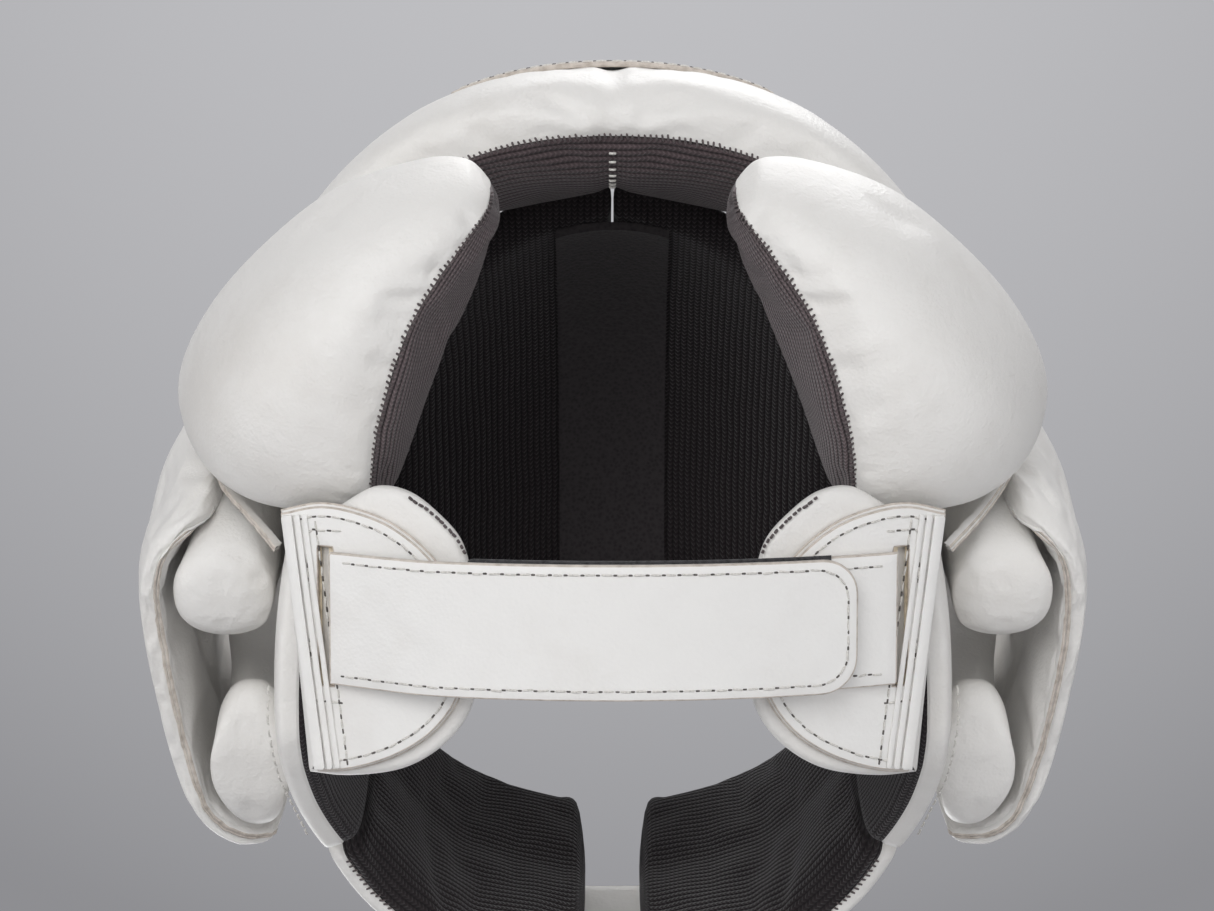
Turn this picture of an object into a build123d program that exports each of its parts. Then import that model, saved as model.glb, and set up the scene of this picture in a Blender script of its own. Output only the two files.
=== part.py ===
"""Boxing headgear: padded leather shell, two cheek pads, two ear guards, a laced crown, two
flexing rear wings under a hook-and-loop strap, and a two-part hook-and-loop chin strap.

Millimetres. +Z is the wearer's up and -Y the way the wearer faces, so the wearer's left is +X.
The origin is the centre of the head cavity, level with the ear canals.
"""

import os
from collections import namedtuple
from math import asin, cos, hypot, radians, sin

from build123d import *

os.makedirs("parts", exist_ok=True)

# ---------------------------------------------------------------- driving dimensions
HEAD_HALF_WIDTH = 82.0  # inside of the lining at the ears
HEAD_HALF_LENGTH = 100.0  # inside of the lining, front and back
PLAN_POWER = 2.3  # how square the head opening is in plan: 2 would be an ellipse
LEATHER = 1.6
KNIT = 1.4
GLUE_GAP = 0.6  # between a cover and the foam that fills it
SEAM_GAP = 3.0  # between the edges of cover and lining, in degrees of the pad's section
CLEARANCE = 0.4  # between two neighbouring pieces
PAD_POWER = 2.6  # section of a fat pad
PLATE_POWER = 4.5  # section of a flat pad, a rounded rectangle
LEATHER_FROM, LEATHER_TO = -55.0, 108.0  # share of a pad's section that the leather covers, degrees
BROW_LEATHER_FROM = -96.0  # the leather wraps under the forehead pad
SECTION_STEP = 12.0  # degrees between the points of a section

BROW_Z, BROW_HALF_HEIGHT, BROW_HALF_THICK, BROW_LEAN = 66.5, 32.0, 20.5, -0.26
FOREHEAD_END = 58.0  # plan angle where the forehead pad meets the temple pads
FOREHEAD_END_Z, FOREHEAD_END_HALF_HEIGHT, FOREHEAD_END_HALF_THICK = 63.0, 28.5, 18.0
BADGE_ANGLE, BADGE_THICK, BADGE_FROM, BADGE_TO = 22.0, 1.8, 16.0, 68.0
TEMPLE_END = 117.0
TEMPLE_END_Z, TEMPLE_END_HALF_HEIGHT, TEMPLE_END_HALF_THICK = 57.0, 22.5, 9.5
TEMPLE_LEAN = -0.12

CHEEK_LEATHER_FROM = -112.0  # the leather wraps under a cheek pad, degrees
PANEL_FROM, PANEL_TO = 68.0, 119.0  # plan angles
PANEL_THICK, PANEL_Z, PANEL_HALF_HEIGHT = 15.0, -13.0, 44.5
EAR_Y, EAR_Z, EAR_HOLE_Y, EAR_HOLE_Z = 5.0, -10.0, 19.0, 22.0  # centre and half sizes of the ear hole
GUARD_Z, GUARD_HALF_HEIGHT, GUARD_HALF_THICK, GUARD_TAPER = -9.0, 41.0, 5.0, 0.3
WING_START, WING_STOP = 121.5, 176.0  # plan angles
WING_HALF_THICK, WING_HALF_HEIGHT, WING_Z = 10.0, 46.0, -6.0

STRAP_WIDTH, STRAP_THICK = 36.0, 2.4
TAPE_THICK = 1.2  # hook or loop tape
TAPE_NAP = 0.3  # the space that the hooks and loops fill
STITCH_GAP = 0.1  # between a tape and the strap it is sewn to
CHIN_RADIUS = 158.0  # the chin strap's curve under the jaw
CHIN_TILT = 22.0  # the strap faces this far forward of straight down
CHIN_Y, CHIN_Z = -47.0, -104.5  # the middle of the chin strap
SLOT_X, SLOT_WIDTH = 77.0, 4.5  # the strap slots' distance from the middle
UNDER_TIP, OVER_TIP = -40.0, 63.0  # free ends of the two chin straps
LOOP_END, HOOK_FROM, HOOK_TO = 58.0, -30.0, 55.0  # ends of the chin tapes
FLAP_THICK, PATCH_THICK = 7.5, 2.4
REAR_STRAP_WIDTH = 38.0
JAW_PLATE_X, JAW_PLATE_THICK = 79.5, 8.0

CROWN_HALF_WIDTH, CROWN_HALF_LENGTH, CROWN_RISE = 90.0, 108.0, 100.0  # dome of the crown's lining
CROWN_Z = 20.0  # height of the dome's centre
CROWN_RIM_Z = 84.0
CROWN_THICK = 11.0
CROWN_GAP = 7.0  # half the laced gap
TONGUE_HALF_WIDTH, TONGUE_THICK = 18.0, 2.0
LACE_ROWS, LACE_SPAN, LACE_RADIUS = 6, 96.0, 1.7
EYELET_X, EYELET_RADIUS, EYELET_BORE, EYELET_THICK = 19.5, 4.2, 2.2, 0.9

Station = namedtuple("Station", "x y out_x out_y z half_t half_h lean")


# ---------------------------------------------------------------- shape helpers
def power(value, exponent):
    """A signed power, for superellipses."""
    return (1 if value >= 0 else -1) * abs(value) ** exponent


def blend(a, b, share):
    return a + (b - a) * share


def spread(start, stop, count):
    """Evenly spaced values, both ends included."""
    return [blend(start, stop, i / (count - 1)) for i in range(count)]


def head_plan(angle, offset=0.0):
    """Point on the head opening's plan curve, and its outward normal. Angle 0 is the front."""
    a = radians(angle)
    x = HEAD_HALF_WIDTH * power(sin(a), 2 / PLAN_POWER)
    y = -HEAD_HALF_LENGTH * power(cos(a), 2 / PLAN_POWER)
    nx = power(x / HEAD_HALF_WIDTH, PLAN_POWER - 1) / HEAD_HALF_WIDTH
    ny = power(y / HEAD_HALF_LENGTH, PLAN_POWER - 1) / HEAD_HALF_LENGTH
    size = hypot(nx, ny)
    return x + offset * nx / size, y + offset * ny / size, nx / size, ny / size


def around_head(angle, z, half_t, half_h, lean=0.0, gap=0.0):
    """A pad section that lies against the head at this plan angle."""
    return Station(*head_plan(angle, half_t + gap), z, half_t, half_h, lean)


def section_plane(s):
    """Vertical plane across a pad: its X points out of the head and its Y points up."""
    return Plane(origin=(s.x, s.y, s.z), x_dir=(s.out_x, s.out_y, 0), z_dir=(s.out_y, -s.out_x, 0))


def outline(s, start, stop, grow, roundness):
    """Points along a pad's section from one angle to another; 0 is outwards and 90 is up."""
    points = []
    for angle in spread(start, stop, round(abs(stop - start) / SECTION_STEP) + 1):
        a = radians(angle)
        reach = (abs(cos(a)) ** roundness + abs(sin(a)) ** roundness) ** (-1 / roundness)
        v = (s.half_h + grow) * reach * sin(a)
        u = (s.half_t + grow) * reach * cos(a) + s.lean * v
        points.append((u, v))
    return points


def core(name, stations, grow, roundness=PAD_POWER):
    """A whole pad, lofted through its sections. A negative grow makes it thinner all round."""
    with BuildPart() as body:
        for s in stations:
            with BuildSketch(section_plane(s)):
                with BuildLine():
                    Spline(*outline(s, 0, 360, grow, roundness)[:-1], periodic=True)
                make_face()
        loft()
    body.part.label = name
    return body


def skin(name, stations, start, stop, outer, inner, roundness=PAD_POWER):
    """A layer over part of a pad's section, between two growths of it."""
    with BuildPart() as body:
        for s in stations:
            out_side = outline(s, start, stop, outer, roundness)
            in_side = outline(s, stop, start, inner, roundness)
            with BuildSketch(section_plane(s)):
                with BuildLine():
                    Spline(*out_side)
                    Line(out_side[-1], in_side[0])
                    Spline(*in_side)
                    Line(in_side[-1], out_side[0])
                make_face()
        loft()
    body.part.label = name
    return body


def band(name, stations, thick, height):
    """A flat strap or patch that follows its stations."""
    with BuildPart() as body:
        for s in stations:
            with BuildSketch(section_plane(s)):
                Rectangle(thick, height)
        loft()
    body.part.label = name
    return body


def save(*bodies):
    for body in bodies:
        export_step(body.part, f"parts/{body.part.label}.step")


def save_pair(body, stem):
    """Writes a piece made on the wearer's left, and its mirror image for the right."""
    body.part.label = stem + "_left"
    with BuildPart() as right:
        add(mirror(body.part, about=Plane.YZ, mode=Mode.PRIVATE))
    right.part.label = stem + "_right"
    save(body, right)


def save_layers(stem, stations, roundness=PAD_POWER, pair=True, leather_from=LEATHER_FROM):
    """Leather cover, foam core and knit lining of one pad."""
    cover_span = (leather_from, LEATHER_TO)
    lining_span = (LEATHER_TO + SEAM_GAP, leather_from - SEAM_GAP + 360)
    cover = skin(stem + "_cover", stations, *cover_span, 0, -LEATHER, roundness)
    lining = skin(stem + "_lining", stations, *lining_span, 0, -KNIT, roundness)
    foam = core(stem + "_foam", stations, -LEATHER - GLUE_GAP, roundness)
    for body in (cover, lining, foam):
        if pair:
            save_pair(body, body.part.label)
        else:
            save(body)


# ---------------------------------------------------------------- forehead and temples
def forehead_station(angle):
    share = (angle / FOREHEAD_END) ** 2
    half_t = blend(BROW_HALF_THICK, FOREHEAD_END_HALF_THICK, share)
    half_h = blend(BROW_HALF_HEIGHT, FOREHEAD_END_HALF_HEIGHT, share)
    return around_head(angle, blend(BROW_Z, FOREHEAD_END_Z, share), half_t, half_h, BROW_LEAN)


forehead_stations = [forehead_station(a) for a in spread(-FOREHEAD_END, FOREHEAD_END, 11)]
save_layers("forehead", forehead_stations, pair=False, leather_from=BROW_LEATHER_FROM)

# A plain double-thickness badge high on the forehead.
badge_stations = [forehead_station(a) for a in spread(-BADGE_ANGLE, BADGE_ANGLE, 7)]
badge_lift = (CLEARANCE + BADGE_THICK, CLEARANCE)
save(skin("forehead_badge", badge_stations, BADGE_FROM, BADGE_TO, *badge_lift))


def temple_station(angle):
    share = (angle - FOREHEAD_END) / (TEMPLE_END - FOREHEAD_END)
    half_t = blend(FOREHEAD_END_HALF_THICK - 1, TEMPLE_END_HALF_THICK, share)
    half_h = blend(FOREHEAD_END_HALF_HEIGHT - 1, TEMPLE_END_HALF_HEIGHT, share)
    return around_head(angle, blend(FOREHEAD_END_Z, TEMPLE_END_Z, share), half_t, half_h, TEMPLE_LEAN)


save_layers("temple", [temple_station(a) for a in spread(FOREHEAD_END + 0.6, TEMPLE_END, 6)])

# ---------------------------------------------------------------- cheek pads
# Sections of the left pad from its front tip back to the ear. The heading is the direction that
# its outer face looks, in degrees from +X, and the bottom of the pad leans inwards.
Cheek = namedtuple("Cheek", "x y heading z half_t half_h lean")
cheek_rows = [
    Cheek(34.0, -136.0, -53.0, -17.0, 6.0, 9.0, 0.13),
    Cheek(44.5, -129.7, -46.0, -19.0, 14.5, 21.0, 0.10),
    Cheek(61.5, -116.0, -39.0, -22.0, 23.5, 32.5, 0.10),
    Cheek(76.0, -97.5, -32.0, -24.0, 28.5, 40.5, 0.13),
    Cheek(87.0, -79.0, -23.0, -23.0, 31.5, 44.0, 0.19),
    Cheek(93.5, -64.0, -10.0, -19.5, 31.0, 43.5, 0.27),
    Cheek(95.0, -52.0, 0.0, -14.5, 26.0, 40.0, 0.30),
]
cheek_stations = [
    Station(c.x, c.y, cos(radians(c.heading)), sin(radians(c.heading)), c.z, c.half_t, c.half_h, c.lean)
    for c in cheek_rows
]
save_layers("cheek", cheek_stations, leather_from=CHEEK_LEATHER_FROM)


# ---------------------------------------------------------------- side panels round the ears
def panel_layer(name, out_from, out_to):
    """One layer of the side panel, between two distances out from the head, with the ear hole in it."""
    half_t = (out_to - out_from) / 2
    angles = spread(PANEL_FROM, PANEL_TO, 6)
    stations = [around_head(a, PANEL_Z, half_t, PANEL_HALF_HEIGHT, gap=out_from) for a in angles]
    with BuildPart() as body:
        for s in stations:
            with BuildSketch(section_plane(s)):
                Rectangle(2 * half_t, 2 * s.half_h)
        loft()
        with BuildSketch(Plane.YZ.offset(HEAD_HALF_WIDTH / 2)):
            with Locations((EAR_Y, EAR_Z)):
                Ellipse(EAR_HOLE_Y, EAR_HOLE_Z)
        extrude(amount=HEAD_HALF_WIDTH, mode=Mode.SUBTRACT)
    body.part.label = name
    return body


save_pair(panel_layer("side_panel_lining", 0.0, KNIT), "side_panel_lining")
foam_span = (KNIT + GLUE_GAP, PANEL_THICK - LEATHER - GLUE_GAP)
save_pair(panel_layer("side_panel_foam", *foam_span), "side_panel_foam")
save_pair(panel_layer("side_panel_cover", PANEL_THICK - LEATHER, PANEL_THICK), "side_panel_cover")


# ---------------------------------------------------------------- ear rolls and ear guards
def guard_inner_x(y):
    """The inside of the ear guard's outer wall, which leans in towards the back and the front."""
    return min(125.9 - 0.05 * (y + 11) - 0.0017 * (y + 11) ** 2, 119.5 + 0.7 * (y + 41))


def panel_outer_x(y):
    """The outside of the side panel."""
    x = HEAD_HALF_WIDTH * (1 - abs(y / HEAD_HALF_LENGTH) ** PLAN_POWER) ** (1 / PLAN_POWER)
    nx = (x / HEAD_HALF_WIDTH) ** (PLAN_POWER - 1) / HEAD_HALF_WIDTH
    ny = abs(y / HEAD_HALF_LENGTH) ** (PLAN_POWER - 1) / HEAD_HALF_LENGTH
    return x + PANEL_THICK * hypot(nx, ny) / nx


# The roll is a horseshoe over the ear: y and z of its centre line, the way it heads, half width.
roll_rows = [
    (-24.5, -51.0, (0.0, 1.0), 11.0),
    (-25.0, -44.0, (0.0, 1.0), 15.5),
    (-25.5, -34.0, (0.0, 1.0), 17.0),
    (-25.5, -20.0, (0.05, 1.0), 17.0),
    (-22.5, -2.0, (0.35, 1.0), 14.5),
    (-10.0, 12.0, (1.0, 0.7), 11.5),
    (5.5, 17.0, (1.0, 0.0), 11.0),
    (21.0, 12.0, (1.0, -0.7), 12.0),
    (34.0, -2.0, (0.35, -1.0), 16.5),
    (37.5, -20.0, (0.0, -1.0), 19.5),
    (36.5, -32.0, (0.0, -1.0), 20.5),
    (33.5, -42.0, (0.0, -1.0), 23.5),
    (33.5, -51.5, (0.0, -1.0), 17.0),
]
ROLL_CLEARANCE = 1.8
ROLL_GAP_HEIGHT = 5.5
ROLL_GAP = 0.5
ROLL_GAP_SPAN = 400.0
with BuildPart() as ear_roll:
    for y, z, (along_y, along_z), half_width in roll_rows:
        low_x = panel_outer_x(y - half_width / 3 if y < EAR_Y else y)
        high_x = guard_inner_x(y - half_width / 2 if y < EAR_Y else y + half_width / 2)
        half_x = (high_x - low_x) / 2 - ROLL_CLEARANCE
        centre = ((low_x + high_x) / 2, y, z)
        with BuildSketch(Plane(origin=centre, x_dir=(1, 0, 0), z_dir=(0, along_y, along_z))):
            Ellipse(half_x, half_width)
    loft()
    # Thin gaps part the arch from the two legs.
    with Locations((0, 0, ROLL_GAP_HEIGHT)):
        Box(ROLL_GAP_SPAN, ROLL_GAP_SPAN, ROLL_GAP, mode=Mode.SUBTRACT)
save_pair(ear_roll, "ear_roll")

# The guard stands off the ear like a low wall: plan of its centre line from front to back.
guard_line = [
    (113.0, -46.5), (121.5, -44.0), (128.0, -37.5), (130.8, -26.0), (130.5, -8.0),
    (128.6, 11.0), (125.6, 32.0), (121.0, 50.0), (113.0, 61.5), (100.5, 66.5),
]
with BuildLine() as guard_path:
    Spline(*guard_line)
guard_stations = []
for share in spread(0, 1, 2 * len(guard_line) - 1):
    point, heading = guard_path.line @ share, guard_path.line % share
    half_h = GUARD_HALF_HEIGHT * (1 - GUARD_TAPER * abs(2 * share - 1) ** 5)
    guard_stations.append(
        Station(point.X, point.Y, heading.Y, -heading.X, GUARD_Z, GUARD_HALF_THICK, half_h, 0.0)
    )
guard_layers = (guard_stations, -90 + SEAM_GAP, 90 - SEAM_GAP, 0, -LEATHER, PLATE_POWER)
save_pair(skin("ear_guard_cover", *guard_layers), "ear_guard_cover")
guard_layers = (guard_stations, 90 + SEAM_GAP, 270 - SEAM_GAP, 0, -LEATHER, PLATE_POWER)
save_pair(skin("ear_guard_lining", *guard_layers), "ear_guard_lining")
save_pair(core("ear_guard_foam", guard_stations, -LEATHER - GLUE_GAP, PLATE_POWER), "ear_guard_foam")

# ---------------------------------------------------------------- chin curve
# Across the strap: X is the wearer's left and Y is up, so the strap is the bottom of a circle.
down = Vector(0, -sin(radians(CHIN_TILT)), -cos(radians(CHIN_TILT)))
chin_middle = Vector(0, CHIN_Y, CHIN_Z)
ARC_PLANE = Plane(origin=chin_middle - down * CHIN_RADIUS, x_dir=(1, 0, 0), z_dir=(0, down.Z, -down.Y))
# Seen from below: X is the wearer's left and Y is forward along the strap's width.
FACE_PLANE = Plane(origin=chin_middle, x_dir=(1, 0, 0), z_dir=down)
CUT_REACH = 100.0  # longer than any chin piece is wide or deep


def on_arc(x, lift):
    """Point of the chin curve this far from the middle and raised off it this much, in ARC_PLANE."""
    a = asin(x / CHIN_RADIUS)
    return (CHIN_RADIUS + lift) * sin(a), -(CHIN_RADIUS + lift) * cos(a)


def arc_strip(name, x_from, x_to, lift_from, lift_to, width):
    """A strip of constant thickness on the chin curve."""
    x_ways = (x_from, (x_from + x_to) / 2, x_to)
    outer = [on_arc(x, lift_to) for x in x_ways]
    inner = [on_arc(x, lift_from) for x in reversed(x_ways)]
    with BuildPart() as body:
        with BuildSketch(ARC_PLANE):
            with BuildLine():
                ThreePointArc(*outer)
                Line(outer[-1], inner[0])
                ThreePointArc(*inner)
                Line(inner[-1], outer[0])
            make_face()
        extrude(amount=width / 2, both=True)
    body.part.label = name
    return body


def trimmed(blank, edge):
    """The part of a strip inside an outline that is drawn as seen from below."""
    with BuildPart() as body:
        add(blank.part)
        with BuildSketch(FACE_PLANE):
            with BuildLine():
                curve = Spline(*edge)
                Line(curve @ 1, curve @ 0)
            make_face()
        extrude(amount=CUT_REACH, both=True, mode=Mode.INTERSECT)
    body.part.label = blank.part.label
    return body


# ---------------------------------------------------------------- jaw: padded flap, slotted patch, plate
patch_edge = [
    (81.5, -43.0), (72, -41.5), (60, -37), (50, -30.5), (43, -22), (39.5, -12), (39.5, -1),
    (43, 9), (50, 18.5), (59.5, 25.5), (70, 29), (80, 29.8), (91, 27),
]
flap_edge = [
    (84, -45), (72, -44.5), (57, -41), (46, -34), (39, -25), (36, -14), (36, -2), (37.5, 10),
    (40.5, 21.5), (47, 29), (55, 34.5), (64, 35.5), (73, 30.5), (82, 24), (90, 17),
]
PATCH_LIFT = -0.8  # the patch's outer face lies this far inside the chin curve
flap_lift = PATCH_LIFT - PATCH_THICK - CLEARANCE
flap_blank = arc_strip("chin_flap", 33, 92, flap_lift - FLAP_THICK, flap_lift, CUT_REACH)
save_pair(trimmed(flap_blank, flap_edge), "chin_flap")

patch_blank = arc_strip("chin_patch", 33, 92, PATCH_LIFT - PATCH_THICK, PATCH_LIFT, CUT_REACH)
with BuildPart() as chin_patch:
    add(trimmed(patch_blank, patch_edge).part)
    with BuildSketch(FACE_PLANE):
        with Locations((SLOT_X + 1, 0)):
            Rectangle(SLOT_WIDTH, STRAP_WIDTH + 2)
    extrude(amount=CUT_REACH, both=True, mode=Mode.SUBTRACT)
save_pair(chin_patch, "chin_patch")

with BuildPart() as jaw_plate:
    with BuildSketch(Plane.YZ.offset(JAW_PLATE_X)):
        with BuildLine():
            Polyline(
                (-40, -58.2), (55, -58.2), (50, -62), (30, -71), (14, -78), (4, -80), (-40, -62.2),
                close=True,
            )
        make_face()
    extrude(amount=JAW_PLATE_THICK)
save_pair(jaw_plate, "jaw_plate")

# ---------------------------------------------------------------- chin straps
loop_lift = STRAP_THICK + STITCH_GAP
hook_lift = loop_lift + TAPE_THICK + TAPE_NAP
over_lift = hook_lift + TAPE_THICK + STITCH_GAP
save(arc_strip("chin_strap_under", UNDER_TIP, SLOT_X, 0, STRAP_THICK, STRAP_WIDTH))
loop_span = (UNDER_TIP + 1, LOOP_END, loop_lift, loop_lift + TAPE_THICK)
save(arc_strip("chin_loop_tape", *loop_span, STRAP_WIDTH + 1))
hook_span = (HOOK_FROM, HOOK_TO, hook_lift, hook_lift + TAPE_THICK)
save(arc_strip("chin_hook_tape", *hook_span, STRAP_WIDTH - 4))


def climb(x):
    """How far the over strap has risen on its way from its slot onto the under strap."""
    share = min(1.0, (x + SLOT_X) / (SLOT_X + UNDER_TIP - 3))
    return over_lift * share * share * (3 - 2 * share)


with BuildPart() as chin_strap_over:
    over_xs = spread(-SLOT_X, OVER_TIP, 15)
    inner_line = [on_arc(x, climb(x)) for x in over_xs]
    outer_line = [on_arc(x, climb(x) + STRAP_THICK) for x in reversed(over_xs)]
    with BuildSketch(ARC_PLANE):
        with BuildLine():
            Spline(*inner_line)
            Line(inner_line[-1], outer_line[0])
            Spline(*outer_line)
            Line(outer_line[-1], inner_line[0])
        make_face()
    extrude(amount=STRAP_WIDTH / 2, both=True)
    tip_face = chin_strap_over.faces().sort_by(Axis.X)[-1]
    tip_corners = tip_face.edges().filter_by(lambda edge: edge.length < 2 * STRAP_THICK)
    fillet(tip_corners, radius=STRAP_WIDTH * 0.3)
chin_strap_over.part.label = "chin_strap_over"
save(chin_strap_over)

# ---------------------------------------------------------------- rear wings and rear strap
wing_size = (WING_Z, WING_HALF_THICK, WING_HALF_HEIGHT)
wing_stations = [around_head(a, *wing_size) for a in spread(WING_START, WING_STOP, 7)]
save_layers("rear_wing", wing_stations, PLATE_POWER)


def rear_band(name, start, stop, out_from, thick, height):
    """A strap or tape on the back of the wings. Angles past 180 are on the wearer's right."""
    places = [head_plan(a, out_from + thick / 2) for a in spread(start, stop, 9)]
    return band(name, [Station(*place, WING_Z, 0, 0, 0) for place in places], thick, height)


rear_loop_out = 2 * WING_HALF_THICK + CLEARANCE
rear_hook_out = rear_loop_out + TAPE_THICK + TAPE_NAP
rear_strap_out = rear_hook_out + TAPE_THICK + STITCH_GAP
save(rear_band("rear_loop_tape", 150, 174, rear_loop_out, TAPE_THICK, REAR_STRAP_WIDTH - 2))
save(rear_band("rear_hook_tape", 156, 173, rear_hook_out, TAPE_THICK, REAR_STRAP_WIDTH - 6))
save(rear_band("rear_strap", 153, 202, rear_strap_out, STRAP_THICK, REAR_STRAP_WIDTH))
save(rear_band("rear_strap_anchor", 203, 212, rear_loop_out, STRAP_THICK, REAR_STRAP_WIDTH + 8))


# ---------------------------------------------------------------- crown
def dome(grow):
    """Ellipsoid of the crown's lining, grown by this much."""
    half_sizes = (CROWN_HALF_WIDTH + grow, CROWN_HALF_LENGTH + grow, CROWN_RISE + grow)
    with BuildPart(mode=Mode.PRIVATE) as ball:
        Sphere(1)
        scale(by=half_sizes)
    return ball.part


def crown_layer(name, low, high, rim_z, side):
    """One layer of the crown above its rim and to the left of a plane."""
    with BuildPart() as body:
        with Locations((0, 0, CROWN_Z)):
            add(dome(high))
            add(dome(low), mode=Mode.SUBTRACT)
        split(bisect_by=Plane.XY.offset(rim_z), keep=Keep.TOP)
        split(bisect_by=Plane.YZ.offset(side), keep=Keep.TOP)
    body.part.label = name
    return body


crown_cut = (CROWN_RIM_Z, CROWN_GAP)
crown_foam_span = (KNIT + GLUE_GAP, CROWN_THICK - LEATHER - GLUE_GAP)
save_pair(crown_layer("crown_lining", 0, KNIT, *crown_cut), "crown_lining")
save_pair(crown_layer("crown_foam", *crown_foam_span, *crown_cut), "crown_foam")
save_pair(crown_layer("crown_cover", CROWN_THICK - LEATHER, CROWN_THICK, *crown_cut), "crown_cover")

tongue_blank = crown_layer(
    "crown_tongue", -CLEARANCE - TONGUE_THICK, -CLEARANCE, CROWN_RIM_Z, -TONGUE_HALF_WIDTH
)
with BuildPart() as crown_tongue:
    add(tongue_blank.part)
    split(bisect_by=Plane.YZ.offset(TONGUE_HALF_WIDTH), keep=Keep.BOTTOM)
crown_tongue.part.label = "crown_tongue"
save(crown_tongue)


def crown_top(x, y, grow):
    """Height of the crown at a point, grown by this much from its lining."""
    across = (x / (CROWN_HALF_WIDTH + grow)) ** 2 + (y / (CROWN_HALF_LENGTH + grow)) ** 2
    return CROWN_Z + (CROWN_RISE + grow) * (1 - across) ** 0.5


# Bars of lace cross the gap from eyelet to eyelet, just clear of the leather.
lace_ys = spread(-LACE_SPAN / 2, LACE_SPAN / 2, LACE_ROWS)
lace_end = EYELET_X - EYELET_RADIUS - CLEARANCE
with BuildPart() as crown_lace:
    for y in lace_ys:
        lace_z = crown_top(CROWN_GAP, y, CROWN_THICK) + LACE_RADIUS + CLEARANCE
        with BuildSketch(Plane.YZ.offset(-lace_end)):
            with Locations((y, lace_z)):
                Circle(LACE_RADIUS)
        extrude(amount=2 * lace_end)
crown_lace.part.label = "crown_lace"
save(crown_lace)

with BuildPart() as crown_eyelets:
    for x in (-EYELET_X, EYELET_X):
        for y in lace_ys:
            z = crown_top(x, y, CROWN_THICK)
            up = Vector(x / CROWN_HALF_WIDTH**2, y / CROWN_HALF_LENGTH**2, (z - CROWN_Z) / CROWN_RISE**2)
            with BuildSketch(Plane(origin=Vector(x, y, z) + up.normalized() * CLEARANCE, z_dir=up)):
                Circle(EYELET_RADIUS)
                Circle(EYELET_BORE, mode=Mode.SUBTRACT)
            extrude(amount=EYELET_THICK)
crown_eyelets.part.label = "crown_eyelets"
save(crown_eyelets)

# ---------------------------------------------------------------- where the moving parts turn
print("chin strap pivot", ARC_PLANE.from_local_coords(Vector(*on_arc(SLOT_X, STRAP_THICK / 2), 0)))
print("across the chin strap", ARC_PLANE.z_dir)
print("rear wing pivot", head_plan(WING_START, 2 * WING_HALF_THICK)[:2])
print("rear strap pivot", head_plan(202, rear_strap_out + STRAP_THICK / 2)[:2])
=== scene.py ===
"""Boxing headgear, seen from below the chin: white leather over padding, dark ribbed knit inside."""
import math
import bpy
import numpy as np
from mathutils import Matrix, Vector
from mathutils.geometry import delaunay_2d_cdt


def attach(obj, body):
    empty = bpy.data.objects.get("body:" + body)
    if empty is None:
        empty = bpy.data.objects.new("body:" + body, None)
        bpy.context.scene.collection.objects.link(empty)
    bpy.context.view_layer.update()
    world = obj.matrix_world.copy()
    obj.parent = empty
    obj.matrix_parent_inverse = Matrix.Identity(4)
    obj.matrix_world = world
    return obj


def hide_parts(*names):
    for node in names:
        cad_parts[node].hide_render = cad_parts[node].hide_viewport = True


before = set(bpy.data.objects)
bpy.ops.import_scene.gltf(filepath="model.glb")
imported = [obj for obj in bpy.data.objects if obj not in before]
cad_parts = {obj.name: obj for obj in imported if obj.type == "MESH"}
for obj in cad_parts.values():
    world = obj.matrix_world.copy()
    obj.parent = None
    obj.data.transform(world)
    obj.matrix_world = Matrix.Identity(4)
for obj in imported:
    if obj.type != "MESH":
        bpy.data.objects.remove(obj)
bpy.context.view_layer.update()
scene = bpy.context.scene
rng = np.random.default_rng(7)
SIDES = (("left", 1), ("right", -1))

# ---------------------------------------------------------------- camera, floor, light
EYE, AIM = Vector((-0.0017, -0.4425, -0.7514)), Vector((-0.0017, -0.0387, 0.0089))
look = (AIM - EYE).normalized()
up = Vector((0, -look.z, look.y))
camera = bpy.data.objects.new("camera", bpy.data.cameras.new("camera"))
camera.data.lens, camera.data.sensor_width = 85, 36
camera.matrix_world = Matrix.Translation(EYE) @ Matrix((Vector((1, 0, 0)), up, -look)).transposed().to_4x4()
scene.collection.objects.link(camera)
scene.camera = camera
scene.view_settings.view_transform = "Standard"


def new_object(name, verts, faces, materials=(), face_slots=None, smooth=True, uvs=None):
    """A mesh object from points in millimetres."""
    mesh = bpy.data.meshes.new(name)
    mesh.from_pydata((np.asarray(verts) * 0.001).tolist(), [], faces)
    for m in materials:
        mesh.materials.append(m)
    if face_slots is not None:
        mesh.polygons.foreach_set("material_index", np.asarray(face_slots, dtype=np.int32))
    mesh.polygons.foreach_set("use_smooth", [smooth] * len(mesh.polygons))
    if uvs is not None:
        layer = mesh.uv_layers.new(name="weave")
        layer.data.foreach_set("uv", np.asarray(uvs, dtype=np.float32).ravel())
    mesh.validate()
    mesh.update()
    o = bpy.data.objects.new(name, mesh)
    scene.collection.objects.link(o)
    return o


def area_light(name, place, aim, size, watts, colour=(1, 1, 1)):
    data = bpy.data.lights.new(name, "AREA")
    data.size, data.energy, data.color = size, watts, colour
    o = bpy.data.objects.new(name, data)
    o.location = place
    o.rotation_euler = (Vector(aim) - Vector(place)).to_track_quat("-Z", "Y").to_euler()
    scene.collection.objects.link(o)


area_light("key_low", (-0.35, -1.25, -0.95), (0, -0.03, -0.02), 0.9, 11.0)
area_light("fill_right", (1.3, -0.5, -0.75), (0, 0, 0), 0.8, 5.0)
area_light("fill_left", (-1.4, -0.35, -0.5), (0, 0, 0), 0.8, 5.0)
area_light("top", (0.3, -0.8, 1.7), (0, 0, 0), 1.2, 22.0)
area_light("back", (-0.4, 1.7, 0.9), (0, 0, 0), 1.0, 14.0)

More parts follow.
